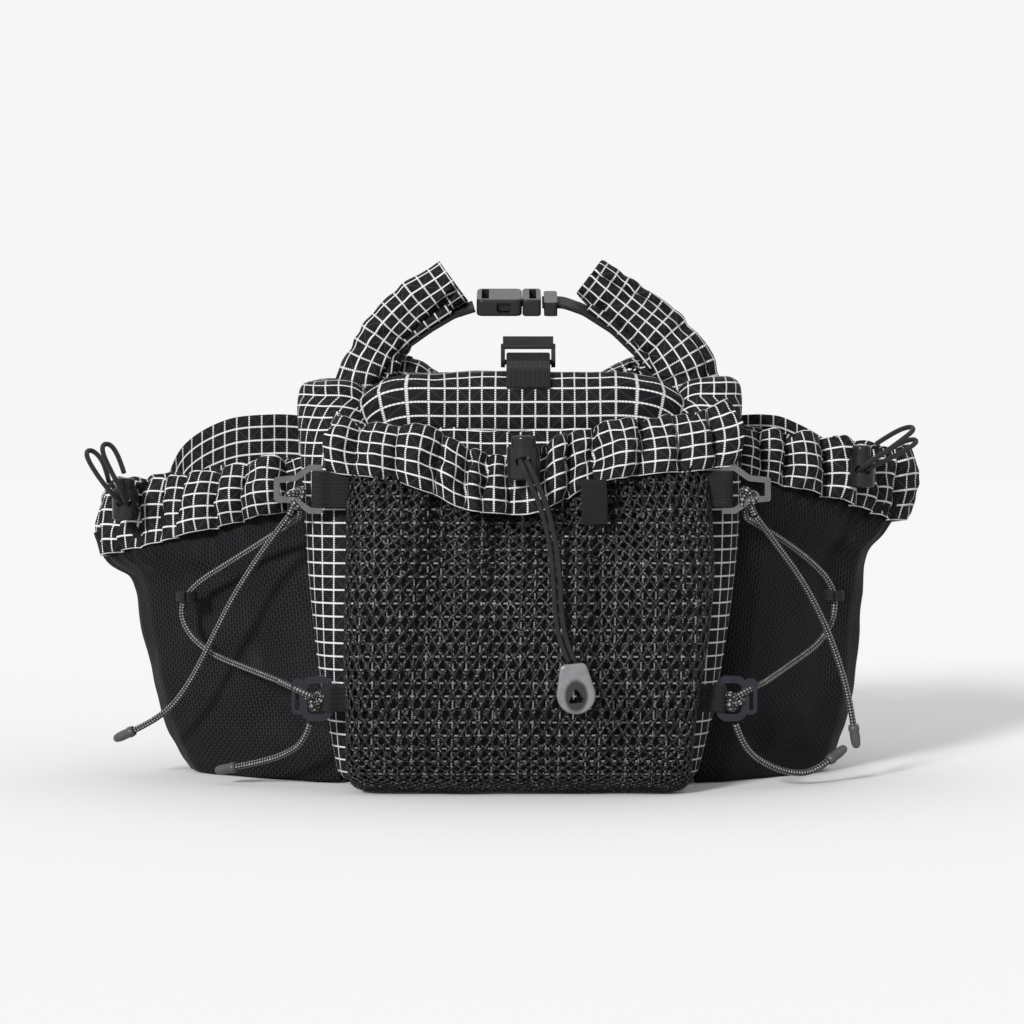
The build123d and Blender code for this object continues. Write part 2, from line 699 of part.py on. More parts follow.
def lower_hook(side, name):
    """A plastic hook: a round-cornered ring on the webbing and an open hook beside it."""
    x, y, z = LOWER_BARS[side][:3]
    with BuildPart() as hook:
        with BuildSketch(Plane.XZ.offset(-y - HOOK_PLATE / 2)):
            with Locations((side * (x + 6.0), z)):
                RectangleRounded(14.8, 21.5, 5.5)
            with Locations((side * (x + 6.0), z)):
                RectangleRounded(9.2, 14.5, 2.6, mode=Mode.SUBTRACT)
            with Locations((side * (x + 14.8), z + 1.0)):
                RectangleRounded(6.4, 17, 2.6)
            with Locations((side * (x + 15.2), z - 1.0)):
                RectangleRounded(2.0, 9, 0.9, mode=Mode.SUBTRACT)
        extrude(amount=HOOK_PLATE)
    save(hook, name)


for side, label in ((-1, "left"), (1, "right")):
    upper_hook(side, f"upper_hook_{label}")
    lower_hook(side, f"lower_hook_{label}")

# =====================================================================================
# Shock cord laced beside the bag
# =====================================================================================

BUNGEES = {
    "bungee_left_upper_tail": (
        (-107.5, -63.0, 130.0),
        (-119.0, -54.0, 115.5),
        (-133.0, -44.0, 95.0),
        (-145.0, -35.0, 73.0),
        (-155.0, -27.0, 53.0),
        (-166.0, -19.5, 37.0),
        (-178.5, -14.0, 27.5),
        (-188.0, -11.0, 23.0),
    ),
    "bungee_left_span": (
        (-103.5, -58.0, 128.5),
        (-119.0, -45.0, 118.5),
        (-139.0, -31.0, 106.0),
        (-156.0, -20.0, 95.5),
        (-164.0, -15.5, 84.0),
        (-160.0, -17.5, 71.5),
        (-148.0, -25.0, 62.0),
        (-130.0, -41.0, 56.5),
        (-112.5, -57.0, 51.5),
    ),
    "bungee_left_lower_tail": (
        (-98.0, -61.0, 32.0),
        (-100.5, -58.0, 23.5),
        (-109.5, -52.0, 16.5),
        (-123.5, -44.5, 11.5),
        (-136.0, -38.5, 8.6),
    ),
    "bungee_right_upper_tail": (
        (111.5, -63.0, 130.0),
        (121.5, -53.5, 117.0),
        (135.0, -42.5, 99.5),
        (146.5, -33.0, 79.0),
        (155.0, -26.0, 58.0),
        (160.5, -22.5, 39.0),
        (162.5, -21.5, 26.0),
    ),
    "bungee_right_span": (
        (108.0, -58.0, 128.5),
        (122.0, -45.0, 120.5),
        (138.5, -31.5, 109.0),
        (151.5, -22.5, 96.5),
        (154.0, -20.5, 82.5),
        (147.0, -24.0, 68.0),
        (131.0, -39.0, 58.5),
        (116.5, -57.0, 51.0),
    ),
    "bungee_right_lower_tail": (
        (102.5, -61.0, 32.0),
        (106.0, -58.0, 22.0),
        (114.0, -52.0, 13.5),
        (127.5, -45.0, 6.8),
        (141.0, -38.5, 5.6),
        (150.0, -34.5, 12.0),
    ),
}
for bungee_name, bungee_route in BUNGEES.items():
    cord(bungee_route, BUNGEE, bungee_name)

with BuildPart() as cord_ends:
    for bungee_name in BUNGEES:
        if bungee_name.endswith("tail"):
            tip = Vector(BUNGEES[bungee_name][-1])
            along = (tip - Vector(BUNGEES[bungee_name][-2])).normalized()
            with BuildSketch(Plane(origin=tip, z_dir=along)):
                Circle(CORD_END_RADIUS)
            extrude(amount=CORD_END_LENGTH, taper=4)
save(cord_ends, "cord_ends")

GUIDE_PLACES = ((-160.2, -17.6, 89.2), (152.7, -21.6, 90.0))
with BuildPart() as cord_guides:
    for x, y, z in GUIDE_PLACES:
        with BuildSketch(Plane.XY.offset(z - 2)):
            with Locations((x, y)):
                Circle(5.2)
            with Locations((x, y + 6.5)):
                Rectangle(3, 5)
            with Locations((x, y)):
                Circle(4.0, mode=Mode.SUBTRACT)
        extrude(amount=4)
save(cord_guides, "cord_guides")

# =====================================================================================
# Back panel, hip belt and bottom webbing
# =====================================================================================

PAD_FRONT = 50.6
PAD_THICKNESS = 6.4
MESH_THICKNESS = 1.8

with BuildPart() as back_pad:
    with BuildSketch(Plane.XZ.offset(-PAD_FRONT - PAD_THICKNESS)):
        with Locations((1, 88)):
            RectangleRounded(176, 156, 24)
    extrude(amount=PAD_THICKNESS)
save(back_pad, "back_pad")

with BuildPart() as back_mesh:
    with BuildSketch(Plane.XZ.offset(-PAD_FRONT - PAD_THICKNESS - GAP - MESH_THICKNESS)):
        with Locations((1, 88)):
            RectangleRounded(182, 162, 26)
    extrude(amount=MESH_THICKNESS)
save(back_mesh, "back_mesh")

WING_ROOT_Y = 65.5
WING_THICKNESS = 9.0
BELT_Y = BELT_BUCKLE_MOUTH[1]
BELT_STRAP_Y = BELT_Y - BELT_STRAP_OFFSET
BELT_HEIGHT = BELT_BUCKLE_MOUTH[2]
BELT_WEBBING_WIDTH = 20.0


def hip_wing(side, name):
    """A padded wing of the belt: it follows the waist and tapers towards the strap."""
    with BuildPart() as wing:
        with BuildSketch(Plane.XY.offset(62)):
            with BuildLine() as waist:
                FilletPolyline(
                    (side * 40, WING_ROOT_Y),
                    (side * 168, WING_ROOT_Y + 2),
                    (side * 178, 108),
                    (side * 150, 158),
                    radius=22,
                )
            trace(line_width=WING_THICKNESS)
        extrude(amount=102)
        top_slope, low_slope = -0.34, 0.34
        split(bisect_by=Plane(origin=(0, 70, 163), z_dir=(0, -top_slope, 1)), keep=Keep.BOTTOM)
        split(bisect_by=Plane(origin=(0, 70, 63), z_dir=(0, -low_slope, 1)), keep=Keep.TOP)
    save(wing, name)


hip_wing(-1, "hip_wing_left")
hip_wing(1, "hip_wing_right")

BELT_ROUTES = (
    ((-149.7, 158.6, BELT_HEIGHT), (-132, BELT_Y - 1, BELT_HEIGHT), (-20.5, BELT_Y, BELT_HEIGHT)),
    ((149.7, 158.6, BELT_HEIGHT), (132, BELT_STRAP_Y, BELT_HEIGHT), (5, BELT_STRAP_Y, BELT_HEIGHT)),
)
with BuildPart() as belt_straps:
    for route in BELT_ROUTES:
        add(ribbon(route, BELT_WEBBING_WIDTH, WEBBING, (0, 0, 1), 8).part)
save(belt_straps, "belt_straps")

with BuildPart() as bottom_webbing:
    with BuildSketch(Plane.XY):
        with Locations((-40, 12), (40, 12)):
            Rectangle(20, 62)
    extrude(amount=1.0)
save(bottom_webbing, "bottom_webbing")
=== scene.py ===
"""Looks of the waist pack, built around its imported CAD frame."""

import math
import random

import bpy
import numpy as np
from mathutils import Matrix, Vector, noise


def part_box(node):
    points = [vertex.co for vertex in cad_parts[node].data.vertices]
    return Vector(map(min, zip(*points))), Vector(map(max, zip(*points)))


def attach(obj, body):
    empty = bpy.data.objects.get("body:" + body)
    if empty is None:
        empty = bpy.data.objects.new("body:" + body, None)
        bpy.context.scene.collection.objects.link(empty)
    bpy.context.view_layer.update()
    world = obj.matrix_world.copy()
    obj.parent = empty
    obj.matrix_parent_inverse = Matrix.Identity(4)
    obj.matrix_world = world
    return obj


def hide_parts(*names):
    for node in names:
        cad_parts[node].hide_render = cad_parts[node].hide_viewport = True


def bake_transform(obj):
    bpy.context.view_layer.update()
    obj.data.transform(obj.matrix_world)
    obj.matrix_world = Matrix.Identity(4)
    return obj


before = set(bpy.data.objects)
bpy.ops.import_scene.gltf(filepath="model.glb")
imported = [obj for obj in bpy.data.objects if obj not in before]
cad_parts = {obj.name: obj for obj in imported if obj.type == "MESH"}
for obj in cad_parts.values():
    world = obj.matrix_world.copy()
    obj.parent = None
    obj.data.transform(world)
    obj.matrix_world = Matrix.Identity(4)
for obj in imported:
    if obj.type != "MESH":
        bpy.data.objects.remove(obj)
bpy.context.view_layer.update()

# Lengths below are millimetres about the bag's centre line. ORIGIN moves them into the frame.
MM = 0.001
ORIGIN = np.array((3.9, -43.2, 0.0))
FABRIC_THICKNESS = 0.7
GRID_PITCH = 6.35
LEFT, RIGHT = -1, 1


def place(points):
    """Points in millimetres about the bag's centre line, as metres in the frame."""
    return (np.asarray(points, float) + ORIGIN) * MM


# =====================================================================================
# Camera, light and floor
# =====================================================================================

CAMERA_DISTANCE = 1.5
CAMERA_ELEVATION = math.radians(2.0)
CAMERA_AIM = Vector((0.0011, -0.1282, 0.1325))
LENS_MM, SENSOR_MM = 113.9, 36.0
camera_data = bpy.data.cameras.new("camera")
camera_data.lens = LENS_MM
camera_data.sensor_width = SENSOR_MM
camera = bpy.data.objects.new("camera", camera_data)
back_off = Vector((0, -math.cos(CAMERA_ELEVATION), math.sin(CAMERA_ELEVATION)))
camera.location = CAMERA_AIM + CAMERA_DISTANCE * back_off
camera.rotation_euler = (math.radians(90) - CAMERA_ELEVATION, 0, 0)
bpy.context.scene.collection.objects.link(camera)
bpy.context.scene.camera = camera


def sun(name, towards, strength, spread):
    """A broad far light that comes from a direction. Its shadows soften with its spread in degrees."""
    data = bpy.data.lights.new(name, "SUN")
    data.energy = strength
    data.angle = math.radians(spread)
    light = bpy.data.objects.new(name, data)
    light.rotation_euler = Vector(towards).to_track_quat("Z", "Y").to_euler()
    bpy.context.scene.collection.objects.link(light)


sun("key", (-0.44, -0.83, 0.36), 5.2, 10)
sun("overhead", (0.05, 0.45, 0.9), 0.7, 50)

BACKGROUND_TONE = 0.924
world = bpy.data.worlds.new("studio")
world.use_nodes = True
background = world.node_tree.nodes["Background"]
background.inputs["Color"].default_value = (BACKGROUND_TONE, BACKGROUND_TONE, BACKGROUND_TONE, 1)
background.inputs["Strength"].default_value = 1.0
bpy.context.scene.world = world
bpy.context.scene.view_settings.view_transform = "Standard"

# =====================================================================================
# Materials
# =====================================================================================


class Material:
    """A Principled material whose procedural nodes are added with short calls."""

    def __init__(self, name, roughness, **sockets):
        self.made = bpy.data.materials.new(name)
        self.made.use_nodes = True
        self.tree = self.made.node_tree
        self.shader = self.tree.nodes["Principled BSDF"]
        self.shader.inputs["Roughness"].default_value = roughness
        for socket, value in sockets.items():
            self.shader.inputs[socket.replace("_", " ")].default_value = value

    def node(self, kind, inputs=(), **settings):
        """Adds a node, with its settings, and its sockets fed by name or by number."""
        made = self.tree.nodes.new(kind)
        for key, value in settings.items():
            setattr(made, key, value)
        for socket, value in dict(inputs).items():
            self.feed(made.inputs[socket], value)
        return made

    def feed(self, socket, value):
        """Links a socket to another one, or sets its value."""
        if isinstance(value, bpy.types.NodeSocket):
            self.tree.links.new(value, socket)
        else:
            socket.default_value = value

    def math(self, operation, first, second=0.0, third=0.0):
        """The output of a Math node."""
        made = self.tree.nodes.new("ShaderNodeMath")
        made.operation = operation
        for socket, value in zip(made.inputs, (first, second, third)):
            self.feed(socket, value)
        return made.outputs[0]

    def cloth(self):
        """The measure along and across the cloth, in millimetres."""
        attribute = self.node("ShaderNodeAttribute", attribute_name="cloth")
        split = self.node("ShaderNodeSeparateXYZ", {0: attribute.outputs["Vector"]})
        return split.outputs[0], split.outputs[1], attribute.outputs["Vector"]

    def place(self):
        """The point in the frame, in millimetres."""
        geometry = self.node("ShaderNodeNewGeometry")
        scaled = self.node("ShaderNodeVectorMath", {0: geometry.outputs["Position"], "Scale": 1 / MM},
                           operation="SCALE")
        return scaled.outputs[0]

    def line(self, coordinate, pitch, half_width, soft):
        """1 on evenly spaced lines across a coordinate and 0 between them."""
        distance = self.math("PINGPONG", coordinate, pitch / 2)
        ramp = self.node("ShaderNodeMapRange", {
            "Value": distance, "From Min": half_width + soft, "From Max": half_width - soft})
        return ramp.outputs[0]

    def noise(self, vector, scale, detail=3.0, roughness=0.5):
        """Smooth noise from 0 to 1."""
        return self.node("ShaderNodeTexNoise", {
            "Vector": vector, "Scale": scale, "Detail": detail, "Roughness": roughness}).outputs["Fac"]

    def mix(self, factor, first, second):
        """The colour between two, each a socket or three numbers."""
        made = self.node("ShaderNodeMix", data_type="RGBA")
        self.feed(made.inputs["Factor"], factor)
        for socket, value in ((made.inputs[6], first), (made.inputs[7], second)):
            self.feed(socket, value if isinstance(value, bpy.types.NodeSocket) else (*value, 1))
        return made.outputs[2]

    def finish(self, colour=None, roughness=None, bumps=()):
        """Joins colour, roughness and a chain of (height, strength, distance in mm) bumps."""
        if colour is not None:
            self.feed(self.shader.inputs["Base Color"], colour)
        if roughness is not None:
            self.feed(self.shader.inputs["Roughness"], roughness)
        normal = None
        for height, strength, distance in bumps:
            bump = self.node("ShaderNodeBump", {
                "Strength": strength, "Distance": distance * MM, "Height": height})
            if normal is not None:
                self.feed(bump.inputs["Normal"], normal)
            normal = bump.outputs[0]
        if normal is not None:
            self.feed(self.shader.inputs["Normal"], normal)
        return self.made

    def between(self, value, low, high):
        """A 0 to 1 value spread over low to high."""
        return self.math("MULTIPLY_ADD", value, high - low, low)


def plain_weave(m, along, across, pitch):
    """The over and under of fine threads, as a height."""
    turn = 2 * math.pi / pitch
    first = m.math("SINE", m.math("MULTIPLY", along, turn))
    second = m.math("SINE", m.math("MULTIPLY", across, turn))
    return m.math("MULTIPLY", first, second)


STITCH_PITCH = 1.05
THREAD_PITCH = 0.62


def gridstop(name, dark=(0.0035, 0.0035, 0.0041), pale=(0.66, 0.66, 0.66)):
    """Coated black fabric with a pale square grid and faint diagonal reinforcement."""
    m = Material(name, 0.62, Sheen_Weight=0.01, Sheen_Roughness=0.4, Specular_IOR_Level=0.06)
    along, across, vector = m.cloth()
    stitch = 2 * math.pi / STITCH_PITCH
    over_u = m.math("MULTIPLY_ADD", m.math("SINE", m.math("MULTIPLY", across, stitch)), 0.42, 0.58)
    over_v = m.math("MULTIPLY_ADD", m.math("SINE", m.math("MULTIPLY", along, stitch)), 0.22, 0.78)
    line_u = m.math("MULTIPLY", m.line(along, GRID_PITCH, 0.36, 0.12), over_u)
    line_v = m.math("MULTIPLY", m.line(across, GRID_PITCH, 0.38, 0.12), over_v)
    grid = m.math("MAXIMUM", line_u, line_v)
    rising = m.line(m.math("ADD", along, across), 2 * GRID_PITCH, 0.3, 0.2)
    falling = m.line(m.math("SUBTRACT", along, across), 2 * GRID_PITCH, 0.3, 0.2)
    diagonals = m.math("MAXIMUM", rising, falling)
    patches = m.noise(vector, 0.035, 4.0)
    ground = m.mix(patches, dark, tuple(2.0 * c for c in dark))
    ground = m.mix(m.math("MULTIPLY", diagonals, 0.32), ground, (0.045, 0.045, 0.048))
    thread = m.mix(m.noise(vector, 1.4), pale, tuple(0.7 * c for c in pale))
    colour = m.mix(grid, ground, thread)
    weave = plain_weave(m, along, across, THREAD_PITCH)
    raised = m.math("MAXIMUM", grid, m.math("MULTIPLY", diagonals, 0.5))
    return m.finish(colour, m.between(patches, 0.5, 0.72), (
        (weave, 0.35, 0.10), (raised, 0.5, 0.14), (m.noise(vector, 0.12, 3.0), 0.35, 0.8)))


def net_yarn():
    """Dull black yarn with painted glints: pale specks, picked by noise, painted on as highlights."""
    m = Material("net_yarn", 0.42, Sheen_Weight=0.0, Specular_IOR_Level=0.16)
    point = m.place()
    strands = m.noise(point, 2.6, 2.0)
    patches = m.noise(point, 0.05)
    colour = m.mix(patches, (0.002, 0.002, 0.0022), (0.005, 0.005, 0.0054))
    # painted highlight: specks picked by noise are coloured pale, standing in for glints of light on the yarn
    glint = m.node("ShaderNodeMapRange", {
        "Value": m.noise(point, 1.1, 1.0), "From Min": 0.60, "From Max": 0.68})
    colour = m.mix(m.math("MULTIPLY", glint.outputs[0], 0.8), colour, (0.11, 0.11, 0.11))
    return m.finish(colour, m.between(strands, 0.28, 0.55), ((strands, 0.55, 0.25),))


def knit(name, across_pitch, along_pitch, thread, hole):
    """A fine stretch mesh: staggered small slots between threads."""
    m = Material(name, 0.6, Sheen_Weight=0.02, Sheen_Roughness=0.4, Specular_IOR_Level=0.08)
    along, across, vector = m.cloth()
    turned = m.node("ShaderNodeCombineXYZ", {0: across, 1: along})
    bricks = m.node("ShaderNodeTexBrick", {
        "Vector": turned.outputs[0], "Scale": 1.0, "Mortar Size": 0.42, "Mortar Smooth": 0.6,
        "Brick Width": along_pitch, "Row Height": across_pitch})
    threads = bricks.outputs["Fac"]
    patches = m.noise(vector, 0.03, 4.0)
    strand = m.mix(patches, thread, tuple(1.8 * c for c in thread))
    colour = m.mix(threads, hole, strand)
    return m.finish(colour, m.between(patches, 0.48, 0.7), (
        (threads, 0.7, 0.35), (m.noise(vector, 0.1, 3.0), 0.3, 0.8)))


def webbing_weave(name, colour, rib=2.3):
    """Ribbed webbing: raised ribs along its length and slanted yarns on each rib."""
    m = Material(name, 0.6, Sheen_Weight=0.03, Sheen_Roughness=0.45, Specular_IOR_Level=0.1)
    along, across, vector = m.cloth()
    slope = m.math("PINGPONG", across, rib / 2)
    ribs = m.math("SINE", m.math("MULTIPLY", slope, math.pi / (rib / 2) - 0.01))
    chevron = m.math("SINE", m.math("MULTIPLY", m.math("ADD", along, slope), 2 * math.pi / 0.95))
    patches = m.noise(vector, 0.12)
    pale = tuple(2.6 * c for c in colour)
    tint = m.mix(m.math("MULTIPLY", m.math("MAXIMUM", chevron, 0.0), patches), colour, pale)
    return m.finish(tint, m.between(patches, 0.5, 0.72), ((ribs, 0.8, 0.45), (chevron, 0.5, 0.15)))


def braid(name, colour, flecks, pitch=1.5, diameter=3.0):
    """Braided cord: slanted crossing yarns, with flecked ones among them."""
    m = Material(name, 0.5, Sheen_Weight=0.03, Specular_IOR_Level=0.22)
    along, around, vector = m.cloth()
    turn = 2 * math.pi / pitch
    rising = m.math("SINE", m.math("MULTIPLY", m.math("ADD", along, around), turn))
    falling = m.math("SINE", m.math("MULTIPLY", m.math("SUBTRACT", along, around), turn))
    cross = m.math("MULTIPLY", rising, falling)
    bright = m.math("GREATER_THAN", cross, 0.36)
    tone = m.mix(bright, colour, flecks)
    worn = m.mix(m.noise(vector, 0.5), tone, tuple(0.6 * c for c in colour))
    return m.finish(worn, None, ((cross, 0.7, 0.22 * diameter / 3),))


def moulded(name, colour, roughness, spread=0.12, **sockets):
    """Moulded plastic or paint: fine grain, faint handling marks and softer worn patches."""
    m = Material(name, roughness, Specular_IOR_Level=0.2, **sockets)
    point = m.place()
    grain = m.noise(point, 3.2, 2.0)
    marks = m.noise(point, 0.16, 5.0, 0.7)
    tone = m.mix(marks, colour, tuple(min(1.0, 1.7 * c + 0.006) for c in colour))
    return m.finish(tone, m.between(marks, roughness - spread, roughness + spread), (
        (grain, 0.22, 0.05), (marks, 0.12, 0.2)))


def ripstop_black():
    """Black padded fabric whose weave follows the frame, for pieces with no cloth measure."""
    m = Material("belt_cloth", 0.66, Sheen_Weight=0.04, Sheen_Roughness=0.45, Specular_IOR_Level=0.16)
    point = m.place()
    cells = m.node("ShaderNodeTexVoronoi", {"Vector": point, "Scale": 0.9}, distance="CHEBYCHEV")
    patches = m.noise(point, 0.03, 4.0)
    colour = m.mix(patches, (0.007, 0.007, 0.008), (0.018, 0.018, 0.020))
    return m.finish(colour, m.between(patches, 0.55, 0.76), (
        (cells.outputs["Distance"], 0.4, 0.2), (m.noise(point, 0.09, 3.0), 0.4, 0.9)))


def floor_paper():
    """Matt pale paper."""
    m = Material("studio_floor", 0.9, Specular_IOR_Level=0.0)
    point = m.place()
    return m.finish(m.mix(m.noise(point, 0.004), (0.543, 0.543, 0.543), (0.546, 0.546, 0.546)), None,
                    ((m.noise(point, 0.8), 0.03, 0.1),))


GRIDSTOP = gridstop("gridstop_cloth")
NET = net_yarn()
POCKET_MESH = knit("pocket_mesh_cloth", 1.7, 3.0, (0.0075, 0.0075, 0.009), (0.0008, 0.0008, 0.0011))
SPACER_MESH = knit("spacer_mesh_cloth", 3.2, 5.0, (0.016, 0.016, 0.018), (0.003, 0.003, 0.0035))
WEBBING = webbing_weave("webbing_cloth", (0.0075, 0.0075, 0.008))
LABEL = webbing_weave("label_cloth", (0.006, 0.006, 0.0065), 0.9)
DRAW_CORD = braid("draw_cord_braid", (0.006, 0.006, 0.0065), (0.012, 0.012, 0.013), 1.1, 2.4)
SHOCK_CORD = braid("shock_cord_braid", (0.008, 0.008, 0.0085), (0.34, 0.34, 0.33), 3.0, 3.0)
BLACK_PLASTIC = moulded("buckle_plastic", (0.006, 0.006, 0.0065), 0.3)
LOCK_PLASTIC = moulded("lock_plastic_gloss", (0.005, 0.005, 0.0055), 0.2, 0.08)
NAVY_PLASTIC = moulded("navy_plastic_gloss", (0.006, 0.0065, 0.0095), 0.22, 0.08)
HOOK_METAL = moulded("hook_metal_gloss", (0.11, 0.11, 0.114), 0.2, 0.08, Metallic=0.95)


def tab_plastic():
    """The pull tab's moulding: a pale rim about a dark middle."""
    m = Material("tab_grey_plastic", 0.24, Specular_IOR_Level=0.4)
    point = m.place()
    low, high = (np.array(corner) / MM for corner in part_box("pull_tab"))
    middle = ((low[0] + high[0]) / 2, (low[1] + high[1]) / 2, low[2] + 0.36 * (high[2] - low[2]))
    offset = m.node("ShaderNodeVectorMath", {0: point, 1: middle}, operation="SUBTRACT")
    flat = m.node("ShaderNodeVectorMath", {0: offset.outputs[0], 1: (1.0, 0.0, 0.72)}, operation="MULTIPLY")
    reach = m.node("ShaderNodeVectorMath", {0: flat.outputs[0]}, operation="LENGTH").outputs["Value"]
    rim = m.node("ShaderNodeMapRange", {"Value": reach, "From Min": 4.6, "From Max": 6.0})
    marks = m.noise(point, 0.3, 4.0)
    pale = m.mix(marks, (0.08, 0.08, 0.084), (0.14, 0.14, 0.145))
    return m.finish(m.mix(rim.outputs[0], (0.012, 0.012, 0.013), pale), m.between(marks, 0.16, 0.34),
                    ((marks, 0.1, 0.2),))


TAB_GREY = tab_plastic()
CORD_END = moulded("cord_end_plastic", (0.03, 0.03, 0.031), 0.36)
BOARD = moulded("board_sheet", (0.03, 0.03, 0.03), 0.6)
SPRING = moulded("spring_wire", (0.5, 0.5, 0.5), 0.3, 0.1, Metallic=1.0)
BELT_CLOTH = ripstop_black()

CARRIED = {
    BLACK_PLASTIC: (
        "roll_buckle_socket", "roll_buckle_plug", "roll_buckle_arm_front", "roll_buckle_arm_rear",
        "roll_strap_slider", "top_strap_hook", "belt_buckle_socket", "belt_buckle_plug",
        "belt_buckle_arm_upper", "belt_buckle_arm_lower"),
    LOCK_PLASTIC: (
        "front_lock_barrel", "front_lock_plunger", "side_lock_left_barrel",
        "side_lock_left_plunger", "side_lock_right_barrel", "side_lock_right_plunger"),
    NAVY_PLASTIC: ("lower_hook_left", "lower_hook_right"),
    HOOK_METAL: ("upper_hook_left", "upper_hook_right"),
    TAB_GREY: ("pull_tab",),
    BOARD: ("base_panel", "roll_stiffener"),
    SPRING: ("lock_springs",),
}
for material, nodes in CARRIED.items():
    for node in nodes:
        for material_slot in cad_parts[node].material_slots:
            material_slot.material = material

# =====================================================================================
# Shape tools
# =====================================================================================


def make_object(name, points, faces, material, cloth=None, body="pack"):
    """A smooth-shaded mesh through points in millimetres, riding on a body."""
    mesh = bpy.data.meshes.new(name)
    mesh.from_pydata([tuple(point) for point in place(points)], [], faces)
    if cloth is not None:
        measure_mm = np.zeros((len(points), 3))
        measure_mm[:, : np.shape(cloth)[1]] = cloth
        mesh.attributes.new("cloth", "FLOAT_VECTOR", "POINT").data.foreach_set("vector", measure_mm.ravel())
    mesh.polygons.foreach_set("use_smooth", [True] * len(mesh.polygons))
    mesh.materials.append(material)
    made = bpy.data.objects.new(name, mesh)
    bpy.context.scene.collection.objects.link(made)
    if body:
        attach(made, body)
    return made


def grid_faces(rows, cols):
    """The four-sided faces of a grid of points."""
    index = np.arange(rows * cols).reshape(rows, cols)
    corners = (index[:-1, :-1], index[:-1, 1:], index[1:, 1:], index[1:, :-1])
    return [tuple(int(i) for i in face) for face in np.stack(corners, -1).reshape(-1, 4)]


def distances(grid, axis):
    """Distance along one axis of a grid of points, from its first row or column."""
    steps = np.linalg.norm(np.diff(grid, axis=axis), axis=2)
    return np.insert(np.cumsum(steps, axis=axis), 0, 0.0, axis=axis)


def cloth_measure(grid, middle=None):
    """Where each point of a grid is in the flat cloth. Each row is measured from column middle,
    or, for gathered cloth, every row takes the mean of all rows."""
    along = distances(grid, 1)
    if middle is None:
        along = np.broadcast_to(along.mean(axis=0), along.shape)
    else:
        along = along - along[:, middle : middle + 1]
    across = np.broadcast_to(distances(grid, 0).mean(axis=1)[:, None], along.shape)
    return np.stack((along, across), -1).reshape(-1, 2)


def facing(grid):
    """Unit normals of a grid of points."""
    cross = np.cross(np.gradient(grid, axis=1), np.gradient(grid, axis=0))
    return cross / np.maximum(np.linalg.norm(cross, axis=2, keepdims=True), 1e-9)


def rumple(grid, amount, scale, seed, weight=1.0):
    """Moves a grid of points in and out along its normals by smooth noise."""
    offset = Vector((seed * 17.3, seed * 5.1, seed * 9.7))
    flat = grid.reshape(-1, 3) / scale
    waves = np.array([noise.noise(Vector(point) + offset) for point in flat]).reshape(grid.shape[:2])
    return grid + facing(grid) * (waves * amount * weight)[..., None]


def rumple_object(made, amount, scale, seed):
    """Moves a finished mesh's points along their normals by smooth noise."""
    offset = Vector((seed * 3.7, seed * 9.1, seed * 1.3))
    for vertex in made.data.vertices:
        wave = noise.noise(vertex.co / (scale * MM) + offset)
        vertex.co += vertex.normal * wave * amount * MM
    made.data.update()


def thicken(made, thickness, offset=-1.0):
    """Gives a sheet its cloth thickness, inwards unless offset says otherwise."""
    solidify = made.modifiers.new("thickness", "SOLIDIFY")
    solidify.thickness = thickness * MM
    solidify.offset = offset
    return made


def through(points, count):
    """count points on a smooth line through the given ones."""
    known = np.asarray(points, float)
    known = np.vstack((2 * known[0] - known[1], known, 2 * known[-1] - known[-2]))
    t = np.linspace(0, len(known) - 3 - 1e-9, count)
    i = t.astype(int)
    f = (t - i)[:, None]
    a, b, c, d = known[i], known[i + 1], known[i + 2], known[i + 3]
    return 0.5 * (2 * b + (c - a) * f + (2 * a - 5 * b + 4 * c - d) * f**2 + (3 * b - a - 3 * c + d) * f**3)


def evenly(points, count):
    """count points spaced evenly by distance along a line of points."""
    points = np.asarray(points, float)
    reach = np.insert(np.cumsum(np.linalg.norm(np.diff(points, axis=0), axis=1)), 0, 0.0)
    wanted = np.linspace(0, reach[-1], count)
    return np.stack([np.interp(wanted, reach, points[:, k]) for k in range(points.shape[1])], -1)


def soften(points, passes):
    """Rounds the corners of a line of points by averaging neighbours, its ends kept."""
    points = np.array(points, float)
    for _ in range(passes):
        points[1:-1] = (points[:-2] + 2 * points[1:-1] + points[2:]) / 4
    return points


def hump(value, centre, width):
    """A smooth hump of height 1 about a centre."""
    return np.exp(-(((value - centre) / width) ** 2))


def rounded_loop(left, right, front, back, radius, count):
    """Points round a rounded rectangle from the back's middle, by the left, evenly spaced."""
    corners = ((left + radius, back - radius, 90), (left + radius, front + radius, 180),
               (right - radius, front + radius, 270), (right - radius, back - radius, 0))
    points = [((left + right) / 2, back)]
    for x, y, first in corners:
        for angle in np.linspace(math.radians(first), math.radians(first + 90), 13):
            points.append((x + radius * math.cos(angle), y + radius * math.sin(angle)))
    points.append(points[0])
    return evenly(points, count)


def stadium(half_width, half_height, corner, count):
    """A closed rounded section, evenly spaced, as (side, normal) points."""
    return rounded_loop(-half_width, half_width, -half_height, half_height, corner, count + 1)[:-1]


